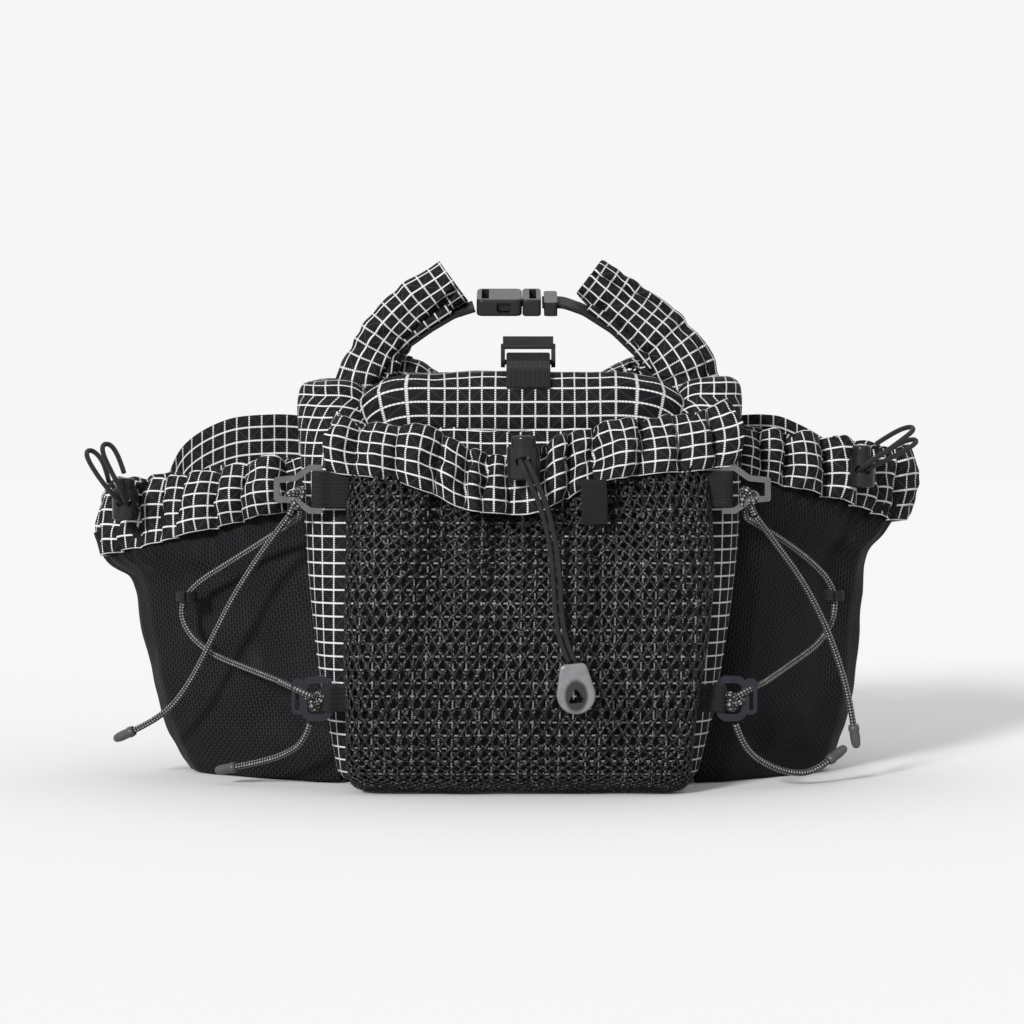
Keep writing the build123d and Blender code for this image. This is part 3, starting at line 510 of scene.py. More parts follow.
def sweep(name, path, section, across, material, body="pack"):
    """Carries a closed section along a path. section(f) gives its (side, normal) points at
    fraction f of the path, and across is the direction its side axis keeps near."""
    path = np.asarray(path, float)
    tangents = np.gradient(path, axis=0)
    tangents /= np.linalg.norm(tangents, axis=1, keepdims=True)
    side = np.broadcast_to(np.asarray(across, float), path.shape)
    side = side - tangents * (side * tangents).sum(axis=1, keepdims=True)
    side /= np.linalg.norm(side, axis=1, keepdims=True)
    normal = np.cross(tangents, side)
    rows = []
    for i, fraction in enumerate(np.linspace(0, 1, len(path))):
        loop = np.asarray(section(fraction), float)
        loop = np.vstack((loop, loop[:1]))
        rows.append(path[i] + loop[:, :1] * side[i] + loop[:, 1:] * normal[i])
    grid = np.array(rows)
    cloth = cloth_measure(grid)[:, ::-1]
    faces = [face[::-1] for face in grid_faces(*grid.shape[:2])]
    rows, cols = grid.shape[:2]
    faces += [tuple(range(cols - 1)), tuple(range(rows * cols - 2, (rows - 1) * cols - 1, -1))]
    return make_object(name, grid.reshape(-1, 3), faces, material, cloth, body)


def strap_section(width, thickness):
    """A webbing's section: flat faces and rounded edges, with points enough for its weave."""
    half, edge = width / 2, thickness / 2
    across = np.linspace(-half + edge, half - edge, 9)
    turn = np.linspace(-math.pi / 2, math.pi / 2, 5)
    right = [(half - edge + edge * math.cos(a), edge * math.sin(a)) for a in turn]
    left = [(-half + edge - edge * math.cos(a), -edge * math.sin(a)) for a in turn]
    return [(x, -edge) for x in across[1:-1]] + right + [(x, edge) for x in across[-2:0:-1]] + left


def strap(name, route, width, thickness, across, replaced=(), body="pack", count=60, rounding=6):
    """A flat webbing strap laid along a route."""
    path = soften(evenly(route, count), rounding)
    section = strap_section(width, thickness)
    made = sweep(name, path, lambda _: section, across, WEBBING, body)
    if replaced:
        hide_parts(*replaced)
    return made


# =====================================================================================
# Cords
# =====================================================================================


def cord_line(route):
    """The points of a smooth spline that a route's points control."""
    curve = bpy.data.curves.new("route", "CURVE")
    curve.dimensions = "3D"
    curve.resolution_u = 10
    spline = curve.splines.new("NURBS")
    spline.points.add(len(route) - 1)
    for point, position in zip(spline.points, route):
        point.co = (*position, 1.0)
    spline.order_u = 3
    spline.use_endpoint_u = True
    holder = bpy.data.objects.new("route", curve)
    bpy.context.scene.collection.objects.link(holder)
    line = bpy.data.meshes.new_from_object(holder.evaluated_get(bpy.context.evaluated_depsgraph_get()))
    points = np.array([tuple(vertex.co) for vertex in line.vertices])
    bpy.data.objects.remove(holder)
    bpy.data.curves.remove(curve)
    bpy.data.meshes.remove(line)
    return points


def tube(name, path, radius, material, body="pack", sides=14, closed=False):
    """A round cord along a path in millimetres, measured along and around. It stays open at
    its ends if closed, where the path's last point is its first."""
    path = np.asarray(path, float)
    tangents = np.gradient(path, axis=0)
    if closed:
        tangents[0] = tangents[-1] = path[1] - path[-2]
    tangents /= np.linalg.norm(tangents, axis=1, keepdims=True)
    side = np.cross(tangents[0], (0.3, 0.2, 0.9))
    angles = np.linspace(0, 2 * math.pi, sides + 1)
    reach = np.insert(np.cumsum(np.linalg.norm(np.diff(path, axis=0), axis=1)), 0, 0.0)
    points, cloth = [], []
    for centre, tangent, distance in zip(path, tangents, reach):
        side = side - tangent * side.dot(tangent)
        side /= np.linalg.norm(side)
        other = np.cross(tangent, side)
        for angle in angles:
            points.append(centre + radius * (math.cos(angle) * side + math.sin(angle) * other))
            cloth.append((distance, angle * radius))
    cols = sides + 1
    faces = [face[::-1] for face in grid_faces(len(path), cols)]
    if not closed:
        last = (len(path) - 1) * cols
        faces += [tuple(range(sides)), tuple(range(last + sides - 1, last - 1, -1))]
    return make_object(name, points, faces, material, cloth, body)


# Each route is the one that part.py gives to the cord's tube.
FRONT_CORD_LEFT = (
    (1.1, -93.0, 156.0), (2.2, -97.0, 153.6), (5.0, -98.8, 147.5), (9.5, -98.6, 138.0),
    (14.0, -97.4, 122.0), (16.4, -96.2, 103.0), (17.0, -95.2, 85.5), (19.6, -94.2, 71.5),
    (23.6, -93.6, 63.4),
)
STRAND_STEP = (2.9, 0.0, 0.3)
FRONT_CORD_RIGHT = tuple(tuple(a + b for a, b in zip(point, STRAND_STEP)) for point in FRONT_CORD_LEFT)
SIDE_LOOPS = {
    "side_cord_left_a": (
        (-192.6, -13.6, 134.5), (-196.5, -17.5, 139.0), (-203.0, -18.5, 147.5), (-208.6, -17.0, 156.5),
        (-208.8, -13.4, 160.2), (-205.0, -10.6, 159.2), (-200.4, -10.4, 152.6), (-198.8, -8.6, 144.0),
    ),
    "side_cord_left_b": (
        (-189.8, -14.2, 134.5), (-191.0, -18.0, 139.2), (-195.4, -20.4, 148.0), (-200.6, -20.0, 158.6),
        (-200.8, -16.4, 163.2), (-197.0, -13.4, 162.8), (-193.0, -14.0, 156.0), (-190.6, -16.2, 149.0),
    ),
    "side_cord_right_a": (
        (168.1, -20.6, 150.5), (172.3, -24.0, 152.8), (179.5, -24.6, 156.4), (189.1, -22.6, 161.4),
        (193.1, -19.0, 164.4), (190.9, -15.6, 165.6), (183.1, -15.4, 162.6), (175.1, -15.6, 157.4),
    ),
    "side_cord_right_b": (
        (165.1, -20.6, 150.5), (167.7, -25.4, 153.4), (175.1, -28.4, 158.4), (185.5, -28.0, 166.0),
        (190.9, -24.4, 170.0), (189.3, -20.6, 171.8), (181.5, -19.6, 168.8), (172.9, -19.4, 163.0),
    ),
}
BUNGEES = {
    "bungee_left_upper_tail": (
        (-107.5, -63.0, 130.0), (-119.0, -54.0, 115.5), (-133.0, -44.0, 95.0), (-145.0, -35.0, 73.0),
        (-155.0, -27.0, 53.0), (-166.0, -19.5, 37.0), (-178.5, -14.0, 27.5), (-188.0, -11.0, 23.0),
    ),
    "bungee_left_span": (
        (-103.5, -58.0, 128.5), (-119.0, -45.0, 118.5), (-139.0, -31.0, 106.0), (-156.0, -20.0, 95.5),
        (-164.0, -15.5, 84.0), (-160.0, -17.5, 71.5), (-148.0, -25.0, 62.0), (-130.0, -41.0, 56.5),
        (-112.5, -57.0, 51.5),
    ),
    "bungee_left_lower_tail": (
        (-98.0, -61.0, 32.0), (-100.5, -58.0, 23.5), (-109.5, -52.0, 16.5), (-123.5, -44.5, 11.5),
        (-136.0, -38.5, 8.6),
    ),
    "bungee_right_upper_tail": (
        (111.5, -63.0, 130.0), (121.5, -53.5, 117.0), (135.0, -42.5, 99.5), (146.5, -33.0, 79.0),
        (155.0, -26.0, 58.0), (160.5, -22.5, 39.0), (162.5, -21.5, 26.0),
    ),
    "bungee_right_span": (
        (108.0, -58.0, 128.5), (122.0, -45.0, 120.5), (138.5, -31.5, 109.0), (151.5, -22.5, 96.5),
        (154.0, -20.5, 82.5), (147.0, -24.0, 68.0), (131.0, -39.0, 58.5), (116.5, -57.0, 51.0),
    ),
    "bungee_right_lower_tail": (
        (102.5, -61.0, 32.0), (106.0, -58.0, 22.0), (114.0, -52.0, 13.5), (127.5, -45.0, 6.8),
        (141.0, -38.5, 5.6), (150.0, -34.5, 12.0),
    ),
}
DRAW_CORD_DIAMETER = 2.4
BUNGEE_DIAMETER = 3.0


def lay_cord(name, route, diameter, material,
             body="pack"):
    """A cord: a tube that follows the spline of its route, in place of the frame's cord part."""
    line = cord_line(route)
    made = tube("cord_" + name, line, diameter / 2, material, body)
    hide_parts(name)
    return made


for cord_name, cord_route in (("front_cord_left", FRONT_CORD_LEFT), ("front_cord_right", FRONT_CORD_RIGHT)):
    lay_cord(cord_name, cord_route, DRAW_CORD_DIAMETER, DRAW_CORD)
for cord_name, cord_route in SIDE_LOOPS.items():
    lay_cord(cord_name, cord_route, DRAW_CORD_DIAMETER, DRAW_CORD)


def cord_end(name, tip, before):
    """A crimped end: a tapered sleeve with a ring at its mouth and a rounded nose."""
    along = np.subtract(tip, before) / np.linalg.norm(np.subtract(tip, before))
    profile = ((-1.5, 1.7), (-1.4, 2.3), (0.2, 2.7), (1.4, 2.7), (1.9, 2.35), (4.5, 2.45), (7.4, 2.3),
               (9.2, 1.9), (10.0, 1.2), (10.3, 0.4))
    side = np.cross(along, (0, 0, 1.0))
    side /= np.linalg.norm(side)
    other = np.cross(along, side)
    turn = np.linspace(0, 2 * math.pi, 19)
    grid = np.array([[np.add(tip, along * reach) + radius * (math.cos(a) * side + math.sin(a) * other)
                      for a in turn] for reach, radius in profile])
    faces = [face[::-1] for face in grid_faces(*grid.shape[:2])]
    return make_object(name, grid.reshape(-1, 3), faces, CORD_END, None)


for cord_name, cord_route in BUNGEES.items():
    if cord_name.endswith("tail"):
        end_name = cord_name.replace("bungee", "cord_end").replace("_tail", "")
        cord_end(end_name, cord_route[-1], cord_route[-2])
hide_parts("cord_ends")

for cord_name, cord_route in BUNGEES.items():
    bungee = lay_cord(
        cord_name, cord_route, BUNGEE_DIAMETER, SHOCK_CORD,
        body=None)
    # the hook at the cord's swinging end, worked out from its name but not used
    _, side_name, part, *_ = cord_name.split("_")
    hook = f"hook_lower_{side_name}" if part == "lower" else f"hook_upper_{side_name}"
    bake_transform(bungee)


def knot(name, centre, size, tilt, body):
    """An overhand knot pulled up small: a trefoil of the cord."""
    t = np.linspace(0, 2 * math.pi, 97)
    x = (np.sin(t) + 2 * np.sin(2 * t)) / 3
    z = (np.cos(t) - 2 * np.cos(2 * t)) / 3
    y = -np.sin(3 * t) * 0.45
    lean = math.radians(tilt)
    path = np.stack((x * math.cos(lean) - z * math.sin(lean), y, x * math.sin(lean) + z * math.cos(lean)), -1)
    return tube(name, np.add(centre, path * size), 1.45, SHOCK_CORD, body, 12, True)


knot("knot_upper_left", (-104.0, -64.0, 138.5), 4.4, 25, "hook_upper_left")
knot("knot_upper_right", (108.0, -64.0, 138.5), 4.4, -25, "hook_upper_right")
knot("knot_lower_left", (-95.5, -64.0, 43.0), 4.0, 10, "hook_lower_left")
knot("knot_lower_right", (101.5, -64.0, 43.0), 4.0, -10, "hook_lower_right")

# the short stretch of each shock cord from the end of its route, by its hook, into the knot
CORD_BIGHTS = (
    ("left", "hook_lower_left", BUNGEES["bungee_left_span"][-1],
     ((-108.5, -60.5, 50.0), (-103.0, -66.0, 48.0), (-96.5, -66.5, 45.0))),
    ("right", "hook_lower_right", BUNGEES["bungee_right_span"][-1],
     ((112.5, -60.5, 49.5), (108.0, -66.0, 48.0), (102.5, -66.5, 45.0))),
    ("left_tail", "hook_upper_left", BUNGEES["bungee_left_upper_tail"][0],
     ((-106.3, -62.6, 132.4), (-105.2, -62.3, 135.0), (-104.2, -63.0, 138.0))),
    ("left_span", "hook_upper_left", BUNGEES["bungee_left_span"][0],
     ((-102.2, -60.0, 130.8), (-102.4, -62.3, 134.2), (-103.4, -63.0, 138.0))),
    ("right_tail", "hook_upper_right", BUNGEES["bungee_right_upper_tail"][0],
     ((110.4, -62.6, 132.4), (109.4, -62.3, 135.0), (108.4, -63.0, 138.0))),
    ("right_span", "hook_upper_right", BUNGEES["bungee_right_span"][0],
     ((106.8, -60.0, 130.8), (106.8, -62.3, 134.2), (107.6, -63.0, 138.0))),
)
for label, hook, start, onward in CORD_BIGHTS:
    tube(f"cord_bight_{label}", cord_line((start, *onward)), BUNGEE_DIAMETER / 2, SHOCK_CORD,
         hook)

# =====================================================================================
# Main bag
# =====================================================================================


# height, left, right, front, back, corner radius
BAG_OUTLINE = (
    (1.6, -60.0, 60.0, -26.0, 24.0, 16.0),
    (1.6, -80.0, 80.0, -43.0, 40.0, 18.0),
    (4.5, -86.0, 86.0, -49.0, 46.0, 20.0),
    (14.0, -88.5, 89.0, -51.5, 48.0, 20.0),
    (36.0, -92.5, 94.0, -54.5, 49.5, 20.0),
    (60.0, -96.0, 98.0, -57.0, 50.0, 20.0),
    (86.0, -98.5, 101.5, -58.0, 50.0, 20.0),
    (112.0, -101.0, 105.0, -58.0, 50.0, 20.0),
    (134.0, -102.5, 106.5, -57.0, 49.0, 19.0),
    (155.0, -104.0, 107.0, -53.0, 47.0, 18.0),
    (174.0, -105.0, 107.5, -43.0, 41.0, 16.0),
    (186.0, -105.5, 107.5, -32.5, 34.0, 14.0),
    (192.5, -103.5, 105.5, -27.0, 28.0, 12.0),
    (194.5, -96.0, 98.0, -20.0, 21.0, 10.0),
    (193.0, -84.0, 86.0, -12.0, 12.0, 6.0),
    (190.0, -70.0, 72.0, -5.0, 5.0, 3.0),
)
BAG_ROWS, BAG_COLS = 130, 301
bag_levels = through(BAG_OUTLINE, BAG_ROWS)
bag = np.empty((BAG_ROWS, BAG_COLS, 3))
for row, (height, *outline) in enumerate(bag_levels):
    bag[row, :, :2] = rounded_loop(*outline, BAG_COLS)
    bag[row, :, 2] = height
# the upper half creases where the cloth is drawn in by the roll
rise = np.clip((bag[..., 2] - 120) / 60, 0, 1)
bag = rumple(bag, 1.6, 42.0, 3, 0.35 + 0.65 * rise)
bag = rumple(bag, 2.6, np.array((16.0, 30.0, 60.0)), 4, rise * 0.9)
across = np.abs(bag[..., 0] - 2.0)
top = np.clip((bag[..., 2] - 140) / 45, 0, 1)
bag[..., 2] -= 15.0 * hump(across, 66.0, 8.5) * top**3
in_front = np.clip((-20 - bag[..., 1]) / 20, 0, 1)
bag[..., 1] += (7.0 * hump(across, 68.0, 6.5) - 3.2 * hump(across, 90.0, 11.0)) * top * in_front
bag[..., 2] = np.maximum(bag[..., 2], 1.6)
bag[:, -1] = bag[:, 0]
bag_faces = grid_faces(BAG_ROWS, BAG_COLS)
bag_faces.append(tuple(range(BAG_COLS - 2, -1, -1)))
bag_faces.append(tuple(range((BAG_ROWS - 1) * BAG_COLS, BAG_ROWS * BAG_COLS - 1)))
main_bag = make_object("bag_body", bag.reshape(-1, 3), bag_faces, GRIDSTOP,
                       cloth_measure(bag, BAG_COLS // 2))
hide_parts("main_bag")

# =====================================================================================
# Rolled top and its two ends
# =====================================================================================


ROLL_Y, ROLL_Z = -15.5, 180.0
roll_path = through(((-61, -9, 176), (-50, ROLL_Y, ROLL_Z), (-20, ROLL_Y, ROLL_Z), (24, ROLL_Y, ROLL_Z),
                     (54, ROLL_Y, ROLL_Z), (65, -9, 176)), 90)


def roll_section(fraction):
    """The roll's section: plump in the middle, with the lip of its last turn in front."""
    end = min(fraction, 1 - fraction) * 6
    plump = 0.62 + 0.38 * min(1.0, end) ** 0.5
    loop = stadium(31.0 * plump, 17.2 * plump, 12.5 * plump, 84)
    lip = np.exp(-(((loop[:, 1] - 11.5) / 1.6) ** 2)) * (loop[:, 0] < -16)
    loop[:, 0] -= 1.3 * lip
    return loop


roll_top = sweep("rolled_top", roll_path, roll_section, (0, 1, 0), GRIDSTOP)
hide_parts("roll_top")


rumple_object(roll_top, 2.0, 34.0, 5)
rumple_object(roll_top, 0.7, 11.0, 6)


END_HALF_DEPTH = 15.4


def roll_end(name, route, halves, seed):
    """An end of the roll: a flattened tube of turned cloth, creased along and cut square.
    halves are half its height at the foot, half way and at the tip."""
    path = evenly(through(route, 80), 110)
    chance = random.Random(seed)
    creases = [(chance.uniform(0.06, 0.9), chance.uniform(-1, 1), chance.uniform(0.5, 1.2)) for _ in range(5)]

    def section(fraction):
        half = float(np.interp(fraction, (0.0, 0.25, 0.6, 1.0), halves))
        loop = stadium(END_HALF_DEPTH, half, min(8.0, half - 1), 110)
        front = np.clip(-loop[:, 0] / END_HALF_DEPTH, 0, 1)
        # the last turn's edge runs along the front, and its cloth puffs out beside it
        edge = half * (-0.28 + 0.5 * math.sin(fraction * 4.0 + seed))
        step = 1 / (1 + np.exp((loop[:, 1] - edge) / 0.45))
        loop[:, 0] += front * 3.6 * step
        loop[:, 0] += front * 3.4 * hump(loop[:, 1], edge - 0.3, 1.2)
        # creases across where the end bends
        for where, slant, depth in creases:
            reach = fraction - where - 0.006 * slant * loop[:, 1]
            pinch = depth * hump(reach, 0.0, 0.028) - 0.5 * depth * hump(reach, 0.05, 0.03)
            loop *= 1 - 0.06 * pinch[:, None]
        return loop

    made = sweep(name, path, section, (0, 1, 0), GRIDSTOP, body=None)
    rumple_object(made, 2.4, 27.0, seed)
    rumple_object(made, 0.5, 9.0, seed + 1)
    # the cut ends show the roll's dark inside
    made.data.materials.append(BELT_CLOTH)
    for polygon in made.data.polygons:
        if len(polygon.vertices) > 4:
            polygon.material_index = 1
    return made


LEFT_END = ((-72, 4, 166), (-74, 2, 182), (-73.5, 2, 197), (-64.5, 2, 214), (-50, 2, 229.5),
            (-31.5, 2, 242.5))
RIGHT_END = ((86, 4, 168), (86, 2, 182), (81.5, 2, 199), (71.5, 2, 214), (54.7, 2, 228.5), (35.5, 2, 244.0))
end_left = roll_end("rolled_end_left", LEFT_END, (14.5, 14.2, 11.8, 12.0), 21)
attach(end_left, "pack")
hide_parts("roll_end_left")
end_right = roll_end("rolled_end_right", RIGHT_END, (17.5, 15.8, 13.2, 9.8), 34)
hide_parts("roll_end_right")
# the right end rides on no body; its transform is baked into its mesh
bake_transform(end_right)


def roll_turn(name, route, seed):
    """Where the roll turns up behind its end: a soft fold of the same cloth."""
    path = evenly(through(route, 60), 70)

    def section(fraction):
        half = 11.0 + 5.0 * math.sin(math.pi * min(1.0, fraction * 1.1))
        return stadium(14.0, half, half * 0.72, 72)

    made = sweep(name, path, section, (0, 1, 0), GRIDSTOP)
    rumple_object(made, 3.2, 17.0, seed)
    return made


roll_turn("roll_turn_left", ((-34, 10, 182), (-50, 12, 187), (-64, 12, 190), (-78, 10, 186)), 51)
roll_turn("roll_turn_right", ((38, 10, 182), (54, 12, 187), (68, 12, 191), (82, 10, 186)), 52)

# =====================================================================================
# Front net pocket
# =====================================================================================

# height, left, right, front, how far back the sides reach, corner radius
NET_OUTLINE = (
    (0.9, -58.0, 60.0, -50.0, -38.0, 6.0),
    (0.9, -70.0, 72.0, -68.0, -40.0, 9.0),
    (3.0, -76.5, 78.0, -77.5, -44.0, 11.0),
    (9.0, -79.0, 80.0, -82.5, -46.0, 12.0),
    (24.0, -80.5, 81.0, -86.5, -48.0, 13.0),
    (55.0, -81.0, 86.0, -88.5, -50.0, 14.0),
    (85.0, -81.0, 90.0, -88.0, -52.0, 14.0),
    (112.0, -80.5, 91.5, -85.5, -54.0, 14.0),
    (132.0, -80.0, 90.5, -80.0, -55.0, 13.0),
    (154.0, -79.5, 88.0, -72.5, -55.0, 12.0),
)


def net_row(left, right, front, back, radius, count):
    """A U round the front: from the left side, by both corners, to the right side."""
    points = [(left, back)]
    for x, first in ((left + radius, 180), (right - radius, 270)):
        for angle in np.linspace(math.radians(first), math.radians(first + 90), 13):
            points.append((x + radius * math.cos(angle), front + radius + radius * math.sin(angle)))
    points.append((right, back))
    return evenly(points, count)


NET_ROWS, NET_COLS = 120, 240
NET_FLOOR = 0.9
net = np.empty((NET_ROWS, NET_COLS, 3))
for row, (height, *outline) in enumerate(through(NET_OUTLINE, NET_ROWS)):
    net[row, :, :2] = net_row(*outline, NET_COLS)
    net[row, :, 2] = max(height, NET_FLOOR)
net_x, net_z = net[..., 0].copy(), net[..., 2].copy()
front_part = np.clip((-60 - net[..., 1]) / 14, 0, 1)
high = np.clip((net_z - 40) / 100, 0, 1)
# full folds that run down from the gathers, and the waist that the lock's cord draws in
net_out = 4.5 * hump(net_x, -58, 13) * high + 3.6 * hump(net_x, -26, 10) * high
net_out += 4.2 * hump(net_x, 26 + 0.08 * (net_z - 80), 11) * high + 4.6 * hump(net_x, 66, 13) * high
net_out -= 9.0 * hump(net_x, -36 + 0.10 * (net_z - 150), 5.0) * high + 5.0 * hump(net_x, -9, 6) * high
net_out -= 6.5 * hump(net_x, 12, 5) * high**2 + 7.5 * hump(net_x, 38, 5.0) * high
gather = np.clip((net_z - 108) / 40, 0, 1) ** 1.3
net_out += 1.9 * gather * np.sin(net_x * 2 * math.pi / 9.5 + 1.4 * np.sin(net_x / 14))
net_out -= 2.2 * hump(net_z, 16, 14) * np.sin(net_x / 9.0) ** 2
net[..., 1] -= net_out * front_part
net = rumple(net, 1.8, 30.0, 8, front_part)
# the top edge sags with the cuff that it is sewn to
sag = np.interp(net_x, (-84, -60, -40, -24, -6, 8, 20, 34, 55, 89),
                (1, 4, 10, 17.5, 20, 19, 14, 6, 2, 0))
sag *= np.clip((net_z - 60) / 94, 0, 1) ** 1.5
net[..., 2] = np.maximum(net[..., 2] - sag * front_part, 0.7)

CELL = 5.3
OPENING_HALF_WIDTH, OPENING_HALF_HEIGHT = 1.05, 1.35
YARN_HALF, NODE_HALF = 0.5, 0.725
# the part of a cell that its two openings leave to the yarns
net_facing = facing(net)
net_width = distances(net, 1)[NET_ROWS // 2, -1]
net_height = distances(net, 0)[-1, NET_COLS // 2]
cells_across, cells_up = round(net_width / CELL), round(net_height / CELL)


def on_net(u, v, out):
    """The point at u, v cells of the net's cloth, raised out from it."""
    column = min(max(u / cells_across, 0), 1) * (NET_COLS - 1)
    row = min(max(v / cells_up, 0), 1) * (NET_ROWS - 1)
    c, r = min(int(column), NET_COLS - 2), min(int(row), NET_ROWS - 2)
    fc, fr = column - c, row - r
    shares = ((1 - fr) * (1 - fc), (1 - fr) * fc, fr * (1 - fc), fr * fc)
    places = ((r, c), (r, c + 1), (r + 1, c), (r + 1, c + 1))
    return sum(s * (net[p] + out * net_facing[p]) for s, p in zip(shares, places))


def knitted_net():
    """Real openings: each cell is a ring from its yarns' crests to the edge of its opening."""
    points, faces, known = [], [], {}

    def crest(key, side):
        if (key, side) not in known:
            u, v = key[0] / 4, key[1] / 4
            is_node = (key[0] // 2 + key[1] // 2) % 2 == 1 and key[0] % 2 == 0
            known[key, side] = len(points)
            points.append(on_net(u, v, side * (NODE_HALF if is_node else YARN_HALF)))
        return known[key, side]

    ring = ((2, 0), (1, 1), (0, 2), (-1, 1), (-2, 0), (-1, -1), (0, -2), (1, -1))
    for j in range(1, 2 * cells_up):
        for i in range(1, 2 * cells_across):
            if (i + j) % 2:
                continue
            edge = []
            for k in range(8):
                angle = k * math.pi / 4
                u = i / 2 + OPENING_HALF_WIDTH * math.cos(angle) / CELL
                v = j / 2 + OPENING_HALF_HEIGHT * math.sin(angle) / CELL
                edge.append(len(points))
                points.append(on_net(u, v, 0.0))
            for side in (1, -1):
                rim = [crest((2 * i + du, 2 * j + dv), side) for du, dv in ring]
                for k in range(8):
                    face = (rim[k], rim[(k + 1) % 8], edge[(k + 1) % 8], edge[k])
                    faces.append(face if side == 1 else face[::-1])
    return points, faces


net_points, net_faces = knitted_net()
net_pocket = make_object("net_pocket", net_points, net_faces, NET, None)
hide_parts("front_net_pocket")

# =====================================================================================
# Gathered cuffs
# =====================================================================================


BAND_ROWS, BAND_COLS = 34, 520
HEM_SHARE = 30.0


def gathered_band(name, lower, upper, outward, valleys, depth, hem=9.0, seed=1, quiet=()):
    """A band of cloth gathered on a cord: puffs between sharp valleys, and a hem turned inside.
    valleys are distances along the band, and quiet are (place, width) stretches that stay flat."""
    lower, upper = evenly(lower, BAND_COLS), evenly(upper, BAND_COLS)
    out = evenly(outward, BAND_COLS)
    out /= np.linalg.norm(out, axis=1, keepdims=True)
    length = np.linalg.norm(np.diff((lower + upper) / 2, axis=0), axis=1).sum()
    reach = np.linspace(0, length, BAND_COLS)
    valleys = np.asarray(valleys, float)
    chance = random.Random(seed)
    slants = np.array([chance.uniform(-3.2, 3.2) for _ in valleys])
    heights = np.array([chance.uniform(0.65, 1.25) for _ in valleys])
    calm = np.clip(1.0 - sum(hump(reach, where, width) for where, width in quiet), 0, 1)
    grid = []
    # past 1 the rows turn over the rim and go down inside it
    for t in np.linspace(0, 1.0 + hem / HEM_SHARE, BAND_ROWS):
        up = min(t, 1.0)
        base = lower * (1 - up) + upper * up
        moved = valleys + slants * (up - 0.5)
        k = np.clip(np.searchsorted(moved, reach) - 1, 0, len(moved) - 2)
        gap = moved[k + 1] - moved[k]
        f = np.clip((reach - moved[k]) / gap, 0, 1)
        puff = np.sin(math.pi * f) ** 0.5 * heights[k] * np.clip(gap / 18.0, 0.3, 1.4)
        swell = 0.45 + 0.75 * math.sin(math.pi * min(1.0, 0.12 + 0.8 * up)) ** 0.8
        shift = depth * puff * swell * calm
        line = base + out * shift[:, None]
        line[:, 2] += 2.6 * (puff - 0.9) * up * calm
        if t > 1.0:
            turn = (t - 1.0) / (hem / HEM_SHARE)
            line -= out * (2.6 * math.sin(min(1.0, turn * 2.2) * math.pi / 2) + 0.8 * turn)
            line[:, 2] -= hem * turn**1.4 - 1.2 * math.sin(math.pi * min(1.0, turn * 1.6))
        grid.append(line)
    grid = rumple(rumple(np.array(grid), 2.3, 12.0, seed), 0.9, 5.0, seed + 3)
    made = make_object(name, grid.reshape(-1, 3), grid_faces(*grid.shape[:2]), GRIDSTOP,
                       cloth_measure(grid))
    thicken(made, FABRIC_THICKNESS)
    return made, grid


def valley_places(total, mean, seed, fixed=()):
    """Uneven distances along a band, mean millimetres apart, with some that are fixed."""
    chance = random.Random(seed)
    places, at = [-2.0], -2.0
    while at < total + mean:
        at += mean * chance.uniform(0.62, 1.45)
        if all(abs(at - f) > mean * 0.45 for f in fixed):
            places.append(at)
    return sorted(places + list(fixed))


CUFF_LOWER = through(((-84, -57, 150), (-78, -67, 149), (-60, -74, 147), (-40, -78, 141), (-24, -79.5, 133.5),
                      (-6, -80.5, 131), (8, -80.5, 132), (20, -80, 137), (34, -79.5, 145), (55, -78, 149),
                      (76, -73, 150.5), (89, -64, 152), (93, -57, 153)), 200)
CUFF_UPPER = through(((-82, -48, 178), (-77, -56, 176), (-60, -64, 173), (-38, -68, 171), (-22, -70.5, 162),
                      (-4, -71, 159.5), (10, -71, 162), (24, -70.5, 170), (50, -68.5, 175), (72, -62, 178),
                      (87, -55, 181), (91, -47, 182)), 200)
CUFF_OUT = ((-0.9, -0.5, 0.1), (-0.25, -1, 0.1), (0, -1, 0.12), (0, -1, 0.12), (0.25, -1, 0.1),
            (0.9, -0.5, 0.1))
cuff_middle = (CUFF_LOWER + CUFF_UPPER) / 2
cuff_length = np.linalg.norm(np.diff(cuff_middle, axis=0), axis=1).sum()
LOCK_X = 2.5
lock_at = float(np.interp(LOCK_X, evenly(cuff_middle, 200)[:, 0], np.linspace(0, cuff_length, 200)))
front_cuff, front_cuff_grid = gathered_band(
    "cuff_front", CUFF_LOWER, CUFF_UPPER, through(CUFF_OUT, 60),
    valley_places(cuff_length, 17.0, 12, (lock_at - 26, lock_at - 7, lock_at + 7, lock_at + 22)),
    11.0, seed=5, quiet=((lock_at, 8.0),))
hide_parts("front_cuff")

# the blank folded tab in the cuff's lower seam
label = strap("label_blank", ((35, -86, 147), (35, -92, 143), (35.2, -93.5, 136), (35.3, -93, 127)), 12, 1.3,
              (1, 0, 0), count=30)
label.data.materials[0] = LABEL
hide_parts("label_tab")

# =====================================================================================
# Side pockets
# =====================================================================================

POCKET_FRONT, POCKET_CORNER, POCKET_BACK = -34.0, 6.0, 49.0


def pocket_row(side, inner, outer, count):
    """The pocket's outline at one height, from its front inner edge, by its outer side, to its back."""
    corners = (
        (inner, POCKET_FRONT + 2), (inner + 14, POCKET_FRONT + 6), (outer - 17, POCKET_CORNER - 1.5),
        (outer - 6, POCKET_CORNER + 6), (outer - 0.5, POCKET_CORNER + 19), (outer - 4, POCKET_BACK - 9),
        (outer - 14, POCKET_BACK - 1), (inner, POCKET_BACK))
    line = soften(evenly(corners, count), 12)
    line[:, 0] *= side
    return line


OUTLINE_STEP = 2
MESH_ABOVE_SEAM = 13


